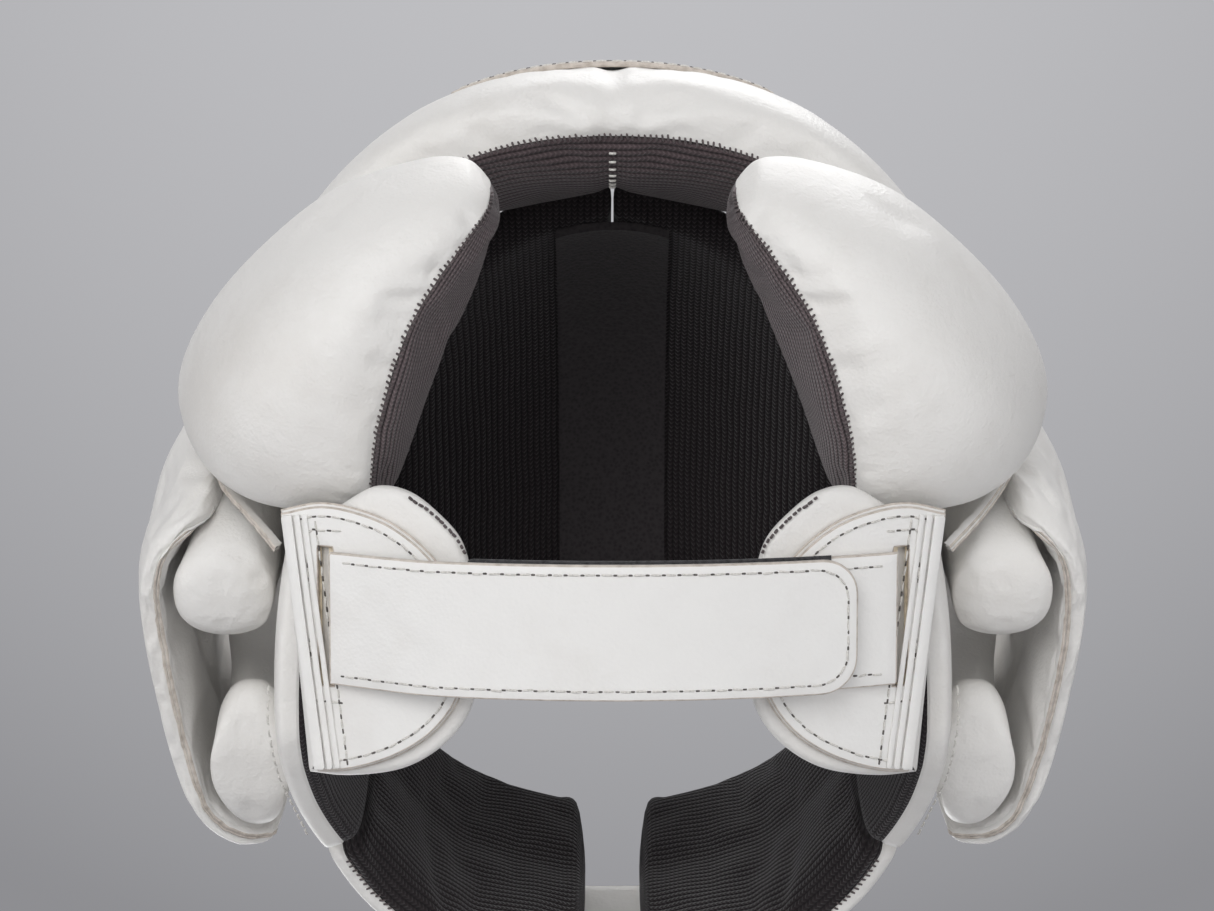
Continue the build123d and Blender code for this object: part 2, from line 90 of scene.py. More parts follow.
floor = new_object("floor",
    [(-6000, -6000, -1250), (6000, -6000, -1250), (6000, 6000, -1250),
        (-6000, 6000, -1250)], [(0, 1, 2, 3)])


# ---------------------------------------------------------------- materials
class Nodes:
    """A small helper that writes one material's node tree."""

    def __init__(self, name, colour, rough):
        self.material = bpy.data.materials.new(name)
        self.material.use_nodes = True
        self.tree = self.material.node_tree
        self.shader = self.tree.nodes["Principled BSDF"]
        self.shader.inputs["Base Color"].default_value = (*colour, 1)
        self.shader.inputs["Roughness"].default_value = rough

    def add(self, kind, inputs=(), **settings):
        node = self.tree.nodes.new(kind)
        for key, value in settings.items():
            setattr(node, key, value)
        for key, value in dict(inputs).items():
            if isinstance(value, bpy.types.NodeSocket):
                self.tree.links.new(value, node.inputs[key])
            else:
                node.inputs[key].default_value = value
        return node

    def maths(self, operation, a, b=0.0):
        return self.add("ShaderNodeMath", {0: a, 1: b}, operation=operation).outputs[0]

    def noise(self, coords, scale, detail=3.0, rough=0.55, distortion=0.0):
        inputs = {"Vector": coords, "Scale": scale, "Detail": detail, "Roughness": rough,
            "Distortion": distortion}
        return self.add("ShaderNodeTexNoise", inputs).outputs["Fac"]

    def ramp(self, value, stops):
        node = self.add("ShaderNodeValToRGB", {"Fac": value})
        ramp = node.color_ramp
        while len(ramp.elements) < len(stops):
            ramp.elements.new(0.5)
        for element, (place, colour) in zip(ramp.elements, stops):
            element.position, element.color = place, (*colour, 1)
        return node.outputs["Color"]

    def spread(self, value, low, high):
        return self.add("ShaderNodeMapRange", {"Value": value, "To Min": low, "To Max": high}).outputs[0]

    def bump(self, height, distance, strength=1.0, before=None):
        inputs = {"Height": height, "Distance": distance, "Strength": strength}
        if before is not None:
            inputs["Normal"] = before
        return self.add("ShaderNodeBump", inputs).outputs["Normal"]

    def into(self, socket, value):
        self.tree.links.new(value, self.shader.inputs[socket])


def leather(name, light, dark, rough=(0.36, 0.56), grain=1.0, creases=1.0):
    """Soft white hide: fine pores, faint tumbled creases, uneven shine, painted shade darkening the folds."""
    n = Nodes(name, light, rough[0])
    place = n.add("ShaderNodeTexCoord").outputs["Object"]
    cloudy = n.noise(place, 16.0, 4.0)
    handled = n.noise(place, 55.0, 5.0, 0.65)
    pores = n.add("ShaderNodeTexVoronoi", {"Vector": place, "Scale": 900.0}).outputs["Distance"]
    fine = n.noise(place, 1500.0, 3.0)
    folds = n.noise(place, 95.0, 4.0, 0.5, 1.4)
    hairs = n.noise(place, 330.0, 4.0, 0.6, 2.2)
    mottle = n.maths("ADD", n.maths("MULTIPLY", cloudy, 0.65), n.maths("MULTIPLY", handled, 0.35))
    mid = tuple((a * 0.7 + b * 0.3) for a, b in zip(light, dark))
    colour = n.ramp(mottle, [(0.3, mid), (0.5, light), (0.75, tuple(min(1.0, c * 1.02) for c in light))])
    # Painted shade: hollows and folds (low pointiness) darken the base colour towards the dark tone, standing in
    # for the shade in the creases.
    fold_hollowness = n.add("ShaderNodeNewGeometry").outputs["Pointiness"]
    painted_fold_shade = n.ramp(fold_hollowness, [(0.42, dark), (0.485, (1, 1, 1)), (1.0, (1, 1, 1))])
    mixed = n.add("ShaderNodeMix", {0: 0.55, 6: colour, 7: painted_fold_shade}, data_type="RGBA",
        blend_type="MULTIPLY")
    n.into("Base Color", mixed.outputs[2])
    n.into("Roughness",
        n.spread(n.maths("ADD", n.maths("MULTIPLY", handled, 0.6), n.maths("MULTIPLY", fine, 0.4)), *rough))
    normal = n.bump(folds, 0.0011 * creases, 0.35)
    normal = n.bump(hairs, 0.0004 * creases, 0.35, normal)
    normal = n.bump(n.maths("ADD", pores, n.maths("MULTIPLY", fine, 0.6)), 0.00016 * grain, 0.5, normal)
    n.into("Normal", normal)
    n.shader.inputs["Specular IOR Level"].default_value = 0.42
    n.shader.inputs["Sheen Weight"].default_value = 0.08
    return n.material


def knit(name, shaded_valley, rib, pitch=2.3, stitch=1.5, turned=False):
    """Ribbed jersey: rounded ribs with small slanted loops, read from the weave map in metres, with painted shade
    darkening the valleys between them.
    """
    n = Nodes(name, rib, 0.92)
    weave = n.add("ShaderNodeUVMap", uv_map="weave").outputs["UV"]
    parts = n.add("ShaderNodeSeparateXYZ", {"Vector": weave})
    along, across = parts.outputs[1 if turned else 0], parts.outputs[0 if turned else 1]
    place = n.add("ShaderNodeTexCoord").outputs["Object"]
    waver = n.maths("MULTIPLY", n.noise(place, 60.0, 2.0), 0.0016)
    cell = n.maths("FRACT", n.maths("MULTIPLY", n.maths("ADD", across, waver), 1000.0 / pitch))
    ridge = n.maths("ABSOLUTE", n.maths("SUBTRACT", cell, 0.5))
    rounded = n.maths("SUBTRACT", 1.0, n.maths("MULTIPLY", n.maths("MULTIPLY", ridge, ridge), 4.0))
    loop_phase = n.maths("ADD", n.maths("MULTIPLY", along, 1000.0 / stitch),
        n.maths("MULTIPLY", ridge, 1.3))
    loops = n.maths("SINE", n.maths("MULTIPLY", loop_phase, 6.2832))
    loops = n.spread(loops, 0.55, 1.0)
    height = n.maths("MULTIPLY", rounded, loops)
    lint = n.noise(place, 420.0, 4.0, 0.7)
    tone = n.maths("MULTIPLY", height, n.spread(lint, 0.45, 1.35))
    # Painted shade: the colour follows the rib height, near black in the valleys and lighter on the ribs; the lint
    # noise adds real tone.
    n.into("Base Color",
        n.ramp(tone, [(0.05, shaded_valley), (0.45, tuple((a + b) / 2 for a, b in zip(shaded_valley, rib))), (0.9, rib)]))
    n.into("Normal", n.bump(n.maths("ADD", height, n.maths("MULTIPLY", lint, 0.3)), 0.0007, 0.8))
    n.shader.inputs["Sheen Weight"].default_value = 0.25
    n.shader.inputs["Specular IOR Level"].default_value = 0.2
    return n.material


def rough_cloth(name, colour, spot, scale=900.0, depth=0.0006, rough=0.9):
    """Felted or brushed surface: hook tape, loop tape, raw leather edges and thread."""
    n = Nodes(name, colour, rough)
    place = n.add("ShaderNodeTexCoord").outputs["Object"]
    fuzz = n.noise(place, scale, 4.0, 0.75)
    tufts = n.add("ShaderNodeTexVoronoi", {"Vector": place, "Scale": scale * 0.6}).outputs["Distance"]
    both = n.maths("ADD", n.maths("MULTIPLY", fuzz, 0.6), n.maths("MULTIPLY", tufts, 0.5))
    n.into("Base Color",
        n.ramp(both, [(0.25, colour), (0.6, spot), (0.85, tuple(min(1, c * 1.15) for c in spot))]))
    n.into("Roughness", n.spread(fuzz, rough - 0.15, rough))
    n.into("Normal", n.bump(both, depth, 0.7))
    n.shader.inputs["Sheen Weight"].default_value = 0.2
    return n.material


def metal(name, colour):
    n = Nodes(name, colour, 0.3)
    place = n.add("ShaderNodeTexCoord").outputs["Object"]
    scuffs = n.noise(place, 700.0, 5.0, 0.7, 1.0)
    n.into("Roughness", n.spread(scuffs, 0.18, 0.5))
    n.into("Normal", n.bump(scuffs, 0.00008, 0.4))
    n.into("Base Color", n.ramp(scuffs, [(0.3, tuple(c * 0.85 for c in colour)), (0.7, colour)]))
    n.shader.inputs["Metallic"].default_value = 1.0
    return n.material


WHITE = leather("leather_soft", (0.83, 0.815, 0.785), (0.62, 0.58, 0.53))
STRAP = leather("leather_strap", (0.85, 0.84, 0.815), (0.64, 0.6, 0.55), rough=(0.3, 0.46), grain=0.7,
    creases=0.35)
INNER = leather("leather_inner", (0.78, 0.765, 0.74), (0.55, 0.52, 0.48), rough=(0.45, 0.65))
KNIT = knit("knit_ribbed", (0.012, 0.008, 0.009), (0.15, 0.112, 0.118))
KNIT_BROW = knit("knit_brow", (0.012, 0.008, 0.009), (0.14, 0.105, 0.11), pitch=2.0, stitch=1.4)
KNIT_CHEEK = knit("knit_cheek", (0.010, 0.007, 0.008), (0.21, 0.165, 0.17), pitch=1.4, stitch=1.2)
KNIT_DARK = knit("knit_inside", (0.008, 0.006, 0.007), (0.034, 0.027, 0.029), pitch=2.0)
FUZZ = rough_cloth("seam_thread_dark", (0.03, 0.024, 0.025), (0.11, 0.09, 0.09), 2200.0, 0.0002)
TONGUE = rough_cloth("tongue_felt", (0.008, 0.006, 0.007), (0.03, 0.024, 0.026), 1200.0, 0.0004)
RAW = rough_cloth("leather_raw_edge", (0.42, 0.36, 0.31), (0.62, 0.56, 0.5), 700.0, 0.0004)
LIP = rough_cloth("leather_slot_lip", (0.56, 0.47, 0.33), (0.78, 0.68, 0.52), 600.0, 0.0004)
THREAD = rough_cloth("thread", (0.5, 0.485, 0.45), (0.7, 0.68, 0.64), 2600.0, 0.0001, 0.75)
HOLE = rough_cloth("needle_holes", (0.05, 0.045, 0.04), (0.12, 0.11, 0.1), 2000.0, 0.0001)
LOOP_TAPE = rough_cloth("loop_tape", (0.006, 0.006, 0.007), (0.05, 0.05, 0.053), 1100.0, 0.001)
HOOK_TAPE = rough_cloth("hook_tape", (0.006, 0.006, 0.007), (0.03, 0.03, 0.033), 800.0, 0.001, 0.7)
LACE = rough_cloth("lace_weave", (0.6, 0.59, 0.56), (0.84, 0.83, 0.8), 1500.0, 0.0003)
NICKEL = metal("eyelet_nickel", (0.72, 0.71, 0.69))
CONCRETE = rough_cloth("studio_floor", (0.62, 0.62, 0.63), (0.64, 0.64, 0.65), 6.0, 0.001)
floor.data.materials.append(CONCRETE)

world = bpy.data.worlds.new("studio")
world.use_nodes = True
scene.world = world
wt = world.node_tree
sky = wt.nodes["Background"]
way = wt.nodes.new("ShaderNodeTexCoord").outputs["Generated"]
dot = wt.nodes.new("ShaderNodeVectorMath")
dot.operation = "DOT_PRODUCT"
wt.links.new(way, dot.inputs[0])
dot.inputs[1].default_value = (0.0, 0.23, 0.97)
shade = wt.nodes.new("ShaderNodeValToRGB")
shade.color_ramp.elements[0].position, shade.color_ramp.elements[0].color = 0.90, (0.27, 0.27, 0.285, 1)
shade.color_ramp.elements[1].position, shade.color_ramp.elements[1].color = 1.0, (0.54, 0.54, 0.56, 1)
wt.links.new(dot.outputs["Value"], shade.inputs["Fac"])
wt.links.new(shade.outputs["Color"], sky.inputs["Color"])
sky.inputs["Strength"].default_value = 1.0


# ---------------------------------------------------------------- the pads' sections, as in the CAD
HEAD_A, HEAD_B, HEAD_N = 82.0, 100.0, 2.3


def power(v, e):
    return np.sign(v) * np.abs(v) ** e


def head_plan(angle, offset=0.0):
    """Plan curve of the head opening and its outward normal, for angles in degrees from the front."""
    a = np.radians(angle)
    x, y = HEAD_A * power(np.sin(a), 2 / HEAD_N), -HEAD_B * power(np.cos(a), 2 / HEAD_N)
    nx, ny = power(x / HEAD_A, HEAD_N - 1) / HEAD_A, power(y / HEAD_B, HEAD_N - 1) / HEAD_B
    size = np.hypot(nx, ny)
    return x + offset * nx / size, y + offset * ny / size, nx / size, ny / size


def catmull(rows, count):
    """Smooth rows of numbers, resampled to a new count."""
    rows = np.asarray(rows, float)
    p = np.vstack([2 * rows[0] - rows[1], rows, 2 * rows[-1] - rows[-2]])
    t = np.linspace(0, len(rows) - 1 - 1e-9, count)
    i = t.astype(int)
    f = (t - i)[:, None]
    a, b, c, d = p[i], p[i + 1], p[i + 2], p[i + 3]
    return 0.5 * (2 * b + (c - a) * f + (2 * a - 5 * b + 4 * c - d) * f**2 + (3 * b - a - 3 * c + d) * f**3)


def around(angles, z, half_t, half_h, lean, gap=0.0):
    """Pad sections against the head: x, y, outward x and y, z, half thickness, half height, lean."""
    x, y, nx, ny = head_plan(angles, half_t + gap)
    n = len(angles)
    return np.column_stack([x, y, nx, ny, np.full(n, 1.0) * z, half_t, half_h, np.full(n, 1.0) * lean])


def pad_points(rows, thetas, grow, roundness, ends=(8.0, 8.0), end_scale=0.25):
    """Grid of points round each section. The sections close in over the last few millimetres."""
    rows = rows.copy()
    centre = np.column_stack([rows[:, 0], rows[:, 1], rows[:, 4]])
    length = np.r_[0, np.cumsum(np.linalg.norm(np.diff(centre, axis=0), axis=1))]
    close = np.ones(len(rows))
    for reach, d in ((ends[0], length), (ends[1], length[-1] - length)):
        if reach:
            s = np.clip(1 - d / reach, 0, 1)
            close *= end_scale + (1 - end_scale) * (1 - s**2.6) ** (1 / 2.6)
    a = np.radians(thetas)
    reach = (np.abs(np.cos(a)) ** roundness + np.abs(np.sin(a)) ** roundness) ** (-1 / roundness)
    half_t, half_h = (rows[:, 5] + grow) * close, (rows[:, 6] + grow) * close
    v = half_h[:, None] * reach * np.sin(a)
    u = half_t[:, None] * reach * np.cos(a) + rows[:, 7][:, None] * v
    x = rows[:, 0][:, None] + rows[:, 2][:, None] * u
    y = rows[:, 1][:, None] + rows[:, 3][:, None] * u
    z = rows[:, 4][:, None] + v
    return np.stack([x, y, z], axis=2), length


def grid_faces(n, m, wrap=True):
    faces, cells = [], []
    for i in range(n - 1):
        for j in range(m if wrap else m - 1):
            k = (j + 1) % m
            faces.append((i * m + j, i * m + k, (i + 1) * m + k, (i + 1) * m + j))
            cells.append((i, j))
    return faces, cells


def pad(name, rows, grow=0.0, roundness=2.6, leather_span=(-55, 108), mats=None, count=40, points=72,
    ends=(8, 8),
        end_scale=0.25, sink=0.9, mirror=1):
    """A sewn pad: leather over part of its section and knit over the rest, with a groove at both seams."""
    rows = catmull(rows, count)
    start = np.atleast_1d(np.asarray(leather_span[0], float))
    start = np.interp(np.linspace(0, 1, count), np.linspace(0, 1, len(start)), start)[:, None]
    j_seam = int(round((leather_span[1] - start.mean()) / 360.0 * points))
    j = np.arange(points)[None]
    covered = start + (leather_span[1] - start) * j / j_seam
    bare = leather_span[1] + (360.0 + start - leather_span[1]) * (j - j_seam) / (points - j_seam)
    thetas = np.where(j <= j_seam, covered, bare)
    pts, length = pad_points(rows, thetas, grow, roundness, ends, end_scale)
    centre = pts.mean(axis=1, keepdims=True)
    out = pts - centre
    out /= np.maximum(np.linalg.norm(out, axis=2, keepdims=True), 1e-6)
    inset = np.zeros(points)
    inset[j_seam + 1:] = 0.8
    for j in (0, j_seam):
        inset[j] = sink + 0.6
    pts = pts - out * inset[None, :, None]
    verts = pts.reshape(-1, 3)
    around_mm = np.r_[0,
        np.cumsum(np.linalg.norm(np.diff(np.concatenate([pts, pts[:, :1]], axis=1), axis=1),
            axis=2).mean(axis=0))]
    faces, cells = grid_faces(count, points)
    slots, uvs = [], []
    for i, j in cells:
        slots.append(0 if j < j_seam else 1)
        for a, b in ((i, j), (i, j + 1), (i + 1, j + 1), (i + 1, j)):
            uvs.append((length[a] * 0.001, around_mm[b] * 0.001))
    first, last = len(verts), len(verts) + 1
    verts = np.vstack([verts, centre[0], centre[-1]])
    for j in range(points):
        k = (j + 1) % points
        faces.append((first, k, j))
        faces.append((last, (count - 1) * points + j, (count - 1) * points + k))
        slots += [0 if j < j_seam else 1] * 2
        uvs += [(0, 0)] * 6
    if mirror < 0:
        verts = verts * np.array([-1, 1, 1])
    else:
        flipped, new_uvs, at = [], [], 0
        for f in faces:
            flipped.append(tuple(reversed(f)))
            new_uvs += list(reversed(uvs[at:at + len(f)]))
            at += len(f)
        faces, uvs = flipped, new_uvs
    o = new_object(name, verts, faces, mats or (WHITE, KNIT), slots, True, uvs)
    o["grid"] = [count, points, j_seam]
    return o


def coords(o):
    co = np.empty(len(o.data.vertices) * 3, np.float32)
    o.data.vertices.foreach_get("co", co)
    return co.reshape(-1, 3).astype(float)


def set_coords(o, co):
    o.data.vertices.foreach_set("co", np.asarray(co, np.float32).ravel())
    o.data.update()


def settle(o):
    """Applies the object's modifiers to its mesh."""
    fresh = bpy.data.meshes.new_from_object(o.evaluated_get(bpy.context.evaluated_depsgraph_get()))
    o.modifiers.clear()
    o.data = fresh


def inflate(o, pinned, pressure=4.0, slack=0.03, cap=0.007, frames=18, stiff=15.0, bend=0.5):
    """Blows the pad up as cloth, held at its seams, and keeps the shape it takes."""
    group = o.vertex_groups.new(name="seams")
    group.add([int(i) for i in pinned], 1.0, "REPLACE")
    before = coords(o)
    cloth = o.modifiers.new("cloth", "CLOTH")
    s = cloth.settings
    s.quality, s.mass = 4, 0.3
    s.tension_stiffness = s.compression_stiffness = stiff
    s.shear_stiffness, s.bending_stiffness = stiff * 0.5, bend
    s.use_pressure, s.uniform_pressure_force = True, pressure
    s.shrink_min = -slack
    s.vertex_group_mass, s.pin_stiffness = "seams", 1.0
    s.effector_weights.gravity = 0
    cloth.collision_settings.use_collision = False
    cloth.point_cache.frame_start, cloth.point_cache.frame_end = 1, frames
    for f in range(1, frames + 1):
        scene.frame_set(f)
    shaped = o.evaluated_get(bpy.context.evaluated_depsgraph_get()).to_mesh()
    after = np.array([v.co for v in shaped.vertices], float)
    o.modifiers.clear()
    o.vertex_groups.clear()
    scene.frame_set(1)
    move = after - before
    size = np.linalg.norm(move, axis=1, keepdims=True)
    set_coords(o, before + move * np.minimum(1, cap / np.maximum(size, 1e-9)))


def subdivide(o, levels=1):
    mod = o.modifiers.new("smooth", "SUBSURF")
    mod.levels = mod.render_levels = levels
    settle(o)


def seam_pins(o, end_rings=2, extra=()):
    n, m, seam = o["grid"]
    pinned = set()
    for i in range(n):
        pinned.update((i * m, i * m + seam))
        if i < end_rings or i >= n - end_rings:
            pinned.update(range(i * m, i * m + m))
    pinned.update((n * m, n * m + 1))
    pinned.update(extra)
    return sorted(pinned)


def seam_line(o, which):
    """Points and outward normals along one seam of an unsubdivided pad, in millimetres."""
    n, m, seam = o["grid"]
    j = 0 if which == 0 else seam
    co = coords(o) * 1000
    o.data.update()
    normals = np.array([v.normal for v in o.data.vertices])
    index = np.arange(n) * m + j
    side = co[np.arange(n) * m + (j + 1) % m] - co[np.arange(n) * m + (j - 1) % m]
    side /= np.linalg.norm(side, axis=1, keepdims=True)
    return co[index], normals[index], side


def stitches(name, starts, ends, normals, radius=0.32, body="shell", mat=None, sides=6):
    """Short rounded thread stitches between pairs of points, dipping under at both ends."""
    starts, ends, normals = (np.asarray(v, float) for v in (starts, ends, normals))
    way = ends - starts
    length = np.linalg.norm(way, axis=1, keepdims=True)
    way /= np.maximum(length, 1e-6)
    side = np.cross(normals, way)
    side /= np.maximum(np.linalg.norm(side, axis=1, keepdims=True), 1e-6)
    lift = np.cross(way, side)
    verts, faces = [], []
    stages = ((0.0, -0.7, 0.5), (0.12, 0.1, 0.95), (0.5, 0.35, 1.0), (0.88, 0.1, 0.95), (1.0, -0.7, 0.5))
    for along, height, fat in stages:
        for k in range(sides):
            a = 2 * math.pi * k / sides
            ring = starts + way * length * along
            ring = ring + lift * (radius * (height + fat * math.sin(a))) + side * (radius * fat
                * math.cos(a))
            verts.append(ring)
    verts = np.stack(verts, axis=1)
    per = verts.shape[1]
    for s in range(len(starts)):
        base = s * per
        for i in range(len(stages) - 1):
            for k in range(sides):
                k2 = (k + 1) % sides
                faces.append((base + i * sides + k, base + i * sides + k2, base + (i + 1) * sides + k2,
                    base + (i + 1) * sides + k))
        faces.append(tuple(base + k for k in reversed(range(sides))))
        faces.append(tuple(base + (len(stages) - 1) * sides + k for k in range(sides)))
    o = new_object(name, verts.reshape(-1, 3), faces, (mat or THREAD,))
    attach(o, body)
    return o


def resample(points, step, *others):
    """Points every step millimetres along a line, and the same places in other arrays."""
    points = np.asarray(points, float)
    d = np.r_[0, np.cumsum(np.linalg.norm(np.diff(points, axis=0), axis=1))]
    at = np.arange(step * 0.5, d[-1], step)
    result = [np.column_stack([np.interp(at, d, a[:, k]) for k in range(a.shape[1])])
        for a in (points, *others)]
    return result if others else result[0]


def overcast(name, o, which, body="shell", step=3.1, reach=1.9, skip=0):
    """Slanting thread that whips over the seam between leather and knit."""
    p, normal, side = seam_line(o, which)
    if skip:
        p, normal, side = p[skip:-skip], normal[skip:-skip], side[skip:-skip]
    p, normal, side = resample(p, step, normal, side)
    jitter = rng.uniform(-0.35, 0.35, (len(p), 1))
    tangent = np.gradient(p, axis=0)
    tangent /= np.linalg.norm(tangent, axis=1, keepdims=True)
    base = p + normal * 0.75
    lean = rng.uniform(0.2, 1.0, (len(p), 1))
    return stitches(name, base - side * (reach + jitter) + tangent * lean, base + side * (reach - jitter),
        normal, 0.34, body, FUZZ)


def inside(points, loop):
    """Which of the points lie inside a closed outline."""
    x, y = points[:, 0][:, None], points[:, 1][:, None]
    x1, y1 = loop[:, 0][None], loop[:, 1][None]
    x2, y2 = np.roll(loop[:, 0], -1)[None], np.roll(loop[:, 1], -1)[None]
    crosses = ((y1 > y) != (y2 > y)) & (x < (x2 - x1) * (y - y1) / np.where(y2 == y1, 1e-9, y2 - y1) + x1)
    return crosses.sum(axis=1) % 2 == 1


def evenly(loop, step):
    """A closed outline, resampled."""
    closed = np.vstack([loop, loop[:1]])
    d = np.r_[0, np.cumsum(np.linalg.norm(np.diff(closed, axis=0), axis=1))]
    at = np.linspace(0, d[-1], max(8, int(d[-1] / step)), endpoint=False)
    return np.column_stack([np.interp(at, d, closed[:, k]) for k in (0, 1)])


def ccw(loop):
    x, y = loop[:, 0], loop[:, 1]
    return loop if np.sum(x * np.roll(y, -1) - np.roll(x, -1) * y) > 0 else loop[::-1]


def edge_normals(loop):
    """Inward normals of a counter-clockwise outline."""
    t = np.roll(loop, -1, axis=0) - np.roll(loop, 1, axis=0)
    t /= np.maximum(np.linalg.norm(t, axis=1, keepdims=True), 1e-9)
    return np.column_stack([-t[:, 1], t[:, 0]])


def cut(name, outline, place, thick, base=0.0, holes=(), mats=None, body="shell", bevel=0.45, puff=0.0,
    step=2.6, edge_wave=0.0):
    """A flat piece of leather or tape cut to an outline, with rounded raw edges, laid on the object by place()."""
    loops = [evenly(ccw(np.asarray(outline, float)), 1.3)] + [evenly(ccw(np.asarray(h, float)), 1.0)
        for h in holes]
    normals = [edge_normals(loop) * (1 if k == 0 else -1) for k, loop in enumerate(loops)]
    half = thick / 2
    rings = ((bevel, half), (0.3 * bevel, half - 0.3 * bevel), (0.0, half - bevel), (0.0, bevel - half),
             (0.3 * bevel, 0.3 * bevel - half), (bevel, -half))
    inner = [loop + n * bevel for loop, n in zip(loops, normals)]
    lo, hi = loops[0].min(axis=0), loops[0].max(axis=0)
    gx, gy = np.meshgrid(np.arange(lo[0] + step / 2, hi[0], step), np.arange(lo[1] + step / 2, hi[1], step))
    grid = np.column_stack([gx.ravel(), gy.ravel()])
    grid = grid[inside(grid, inner[0])]
    for h in inner[1:]:
        grid = grid[~inside(grid, h)]
    edge_points = np.vstack(inner)
    near = np.array([np.min(np.sum((edge_points - g) ** 2, axis=1))
        for g in grid]) if len(grid) else np.zeros(0)
    grid = grid[near > (0.55 * step) ** 2]
    flat = np.vstack([edge_points, grid])
    edges, at = [], 0
    for loop in inner:
        edges += [(at + i, at + (i + 1) % len(loop)) for i in range(len(loop))]
        at += len(loop)
    out, _, tris, *_ = delaunay_2d_cdt([Vector(p) for p in flat], edges, [], 0, 1e-6)
    out = np.array([list(p) for p in out])
    tris = np.array([t for t in tris if len(t) == 3])
    mid = out[tris].mean(axis=1)
    keep = inside(mid, inner[0])
    for h in inner[1:]:
        keep &= ~inside(mid, h)
    tris = tris[keep]
    edge_d = np.array([np.min(np.linalg.norm(edge_points - p, axis=1)) for p in out])
    crown = puff * np.sqrt(np.clip(edge_d / 14.0, 0, 1))
    points, heights, faces, slots = [], [], [], []
    for sign in (1, -1):
        offset = len(points) and sum(len(p) for p in points)
        points.append(out)
        heights.append(np.full(len(out), sign * half) + (crown if sign > 0 else 0))
        for t in tris:
            a, b, c = (int(v) + offset for v in t)
            area = np.cross(out[t[1]] - out[t[0]], out[t[2]] - out[t[0]])
            faces.append((a, b, c) if (area > 0) == (sign > 0) else (a, c, b))
            slots.append(0)
    offset = 2 * len(out)
    for k, (loop, n) in enumerate(zip(loops, normals)):
        m = len(loop)
        for inset, height in rings:
            points.append(loop + n * inset)
            heights.append(np.full(m, height))
        for r in range(len(rings) - 1):
            for i in range(m):
                j = (i + 1) % m
                quad = (offset + r * m + i, offset + (r + 1) * m + i, offset + (r + 1) * m + j,
                    offset + r * m + j)
                faces.append(quad if k == 0 else tuple(reversed(quad)))
                slots.append(1)
        offset += m * len(rings)
    flat, heights = np.vstack(points), np.concatenate(heights)
    if edge_wave:
        heights = heights + edge_wave * np.sin(flat[:, 0] * 0.35 + 1.3
            * np.sin(flat[:, 1] * 0.21)) * np.cos(flat[:, 1] * 0.3)
    verts = place(flat[:, 0], flat[:, 1], heights + base + half)
    a, b, c = (verts[i] for i in faces[0][:3])
    towards = place(*(np.array([v]) for v in (flat[faces[0][0], 0], flat[faces[0][0], 1],
        base + thick + 1)))[0] - verts[faces[0][0]]
    if np.dot(np.cross(b - a, c - a), towards) < 0:
        faces = [tuple(reversed(f)) for f in faces]
    o = new_object(name, verts, faces, mats or (STRAP, RAW), slots)
    merge = o.modifiers.new("weld", "WELD")
    merge.merge_threshold = 0.00002
    settle(o)
    if body:
        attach(o, body)
    return o


def normal_of(place, a, b, h, eps=0.5):
    """Outward direction of a place() mapping at points of it."""
    d = place(a, b, h + eps) - place(a, b, h)
    return d / np.linalg.norm(d, axis=1, keepdims=True)


def sewn(name, path, place, h, body="shell", pitch=4.1, dash=2.7, radius=0.3, holes=True, closed=False,
    mat=None):
    """A run of straight stitches along a path on a flat piece, with needle holes between them."""
    path = np.asarray(path, float)
    if closed:
        path = np.vstack([path, path[:1]])
    d = np.r_[0, np.cumsum(np.linalg.norm(np.diff(path, axis=0), axis=1))]
    at = np.arange(pitch * 0.4, d[-1] - dash, pitch)
    at = at + rng.uniform(-0.2, 0.2, len(at))
    first = np.column_stack([np.interp(at, d, path[:, k]) for k in (0, 1)])
    last = np.column_stack([np.interp(at + dash, d, path[:, k]) for k in (0, 1)])
    first += rng.normal(0, 0.12, first.shape)
    last += rng.normal(0, 0.12, last.shape)
    heights = np.full(len(at), float(h))
    p0, p1 = place(first[:, 0], first[:, 1], heights), place(last[:, 0], last[:, 1], heights)
    n0 = normal_of(place, first[:, 0], first[:, 1], heights)
    stitches(name, p0, p1, n0, radius, body, mat)
    if holes:
        gap = np.column_stack([np.interp(at + dash, d, path[:, k]) for k in (0, 1)])
        gap2 = np.column_stack([np.interp(at + pitch, d, path[:, k]) for k in (0, 1)])
        h2 = heights - 0.14
        q0, q1 = place(gap[:, 0], gap[:, 1], h2), place(gap2[:, 0], gap2[:, 1], h2)
        stitches(name + "_holes", q0, q1, normal_of(place, gap[:, 0], gap[:, 1], h2), 0.3, body, HOLE, 5)


def smooth_path(points, count=160):
    return catmull(np.asarray(points, float), count)


def offset_path(path, distance):
    t = np.gradient(path, axis=0)
    t /= np.linalg.norm(t, axis=1, keepdims=True)
    return path + np.column_stack([-t[:, 1], t[:, 0]]) * distance


# ---------------------------------------------------------------- forehead and temples
BROW_LEAN, TEMPLE_LEAN = -0.26, -0.12


def blend(start, end, share):
    """The value a share of the way from start to end."""
    return start + (end - start) * share


def brow_rows(angles):
    share = (angles / 58.0) ** 2
    return around(angles, blend(66.5, 63, share), blend(20.5, 18, share), blend(32, 28.5, share), BROW_LEAN)


brow = pad("forehead_pad", brow_rows(np.linspace(-58, 58, 41)), grow=-1.2, count=92, points=72,
    leather_span=(-84, 108), ends=(7, 7), mats=(WHITE, KNIT_BROW))
n, m, seam = brow["grid"]
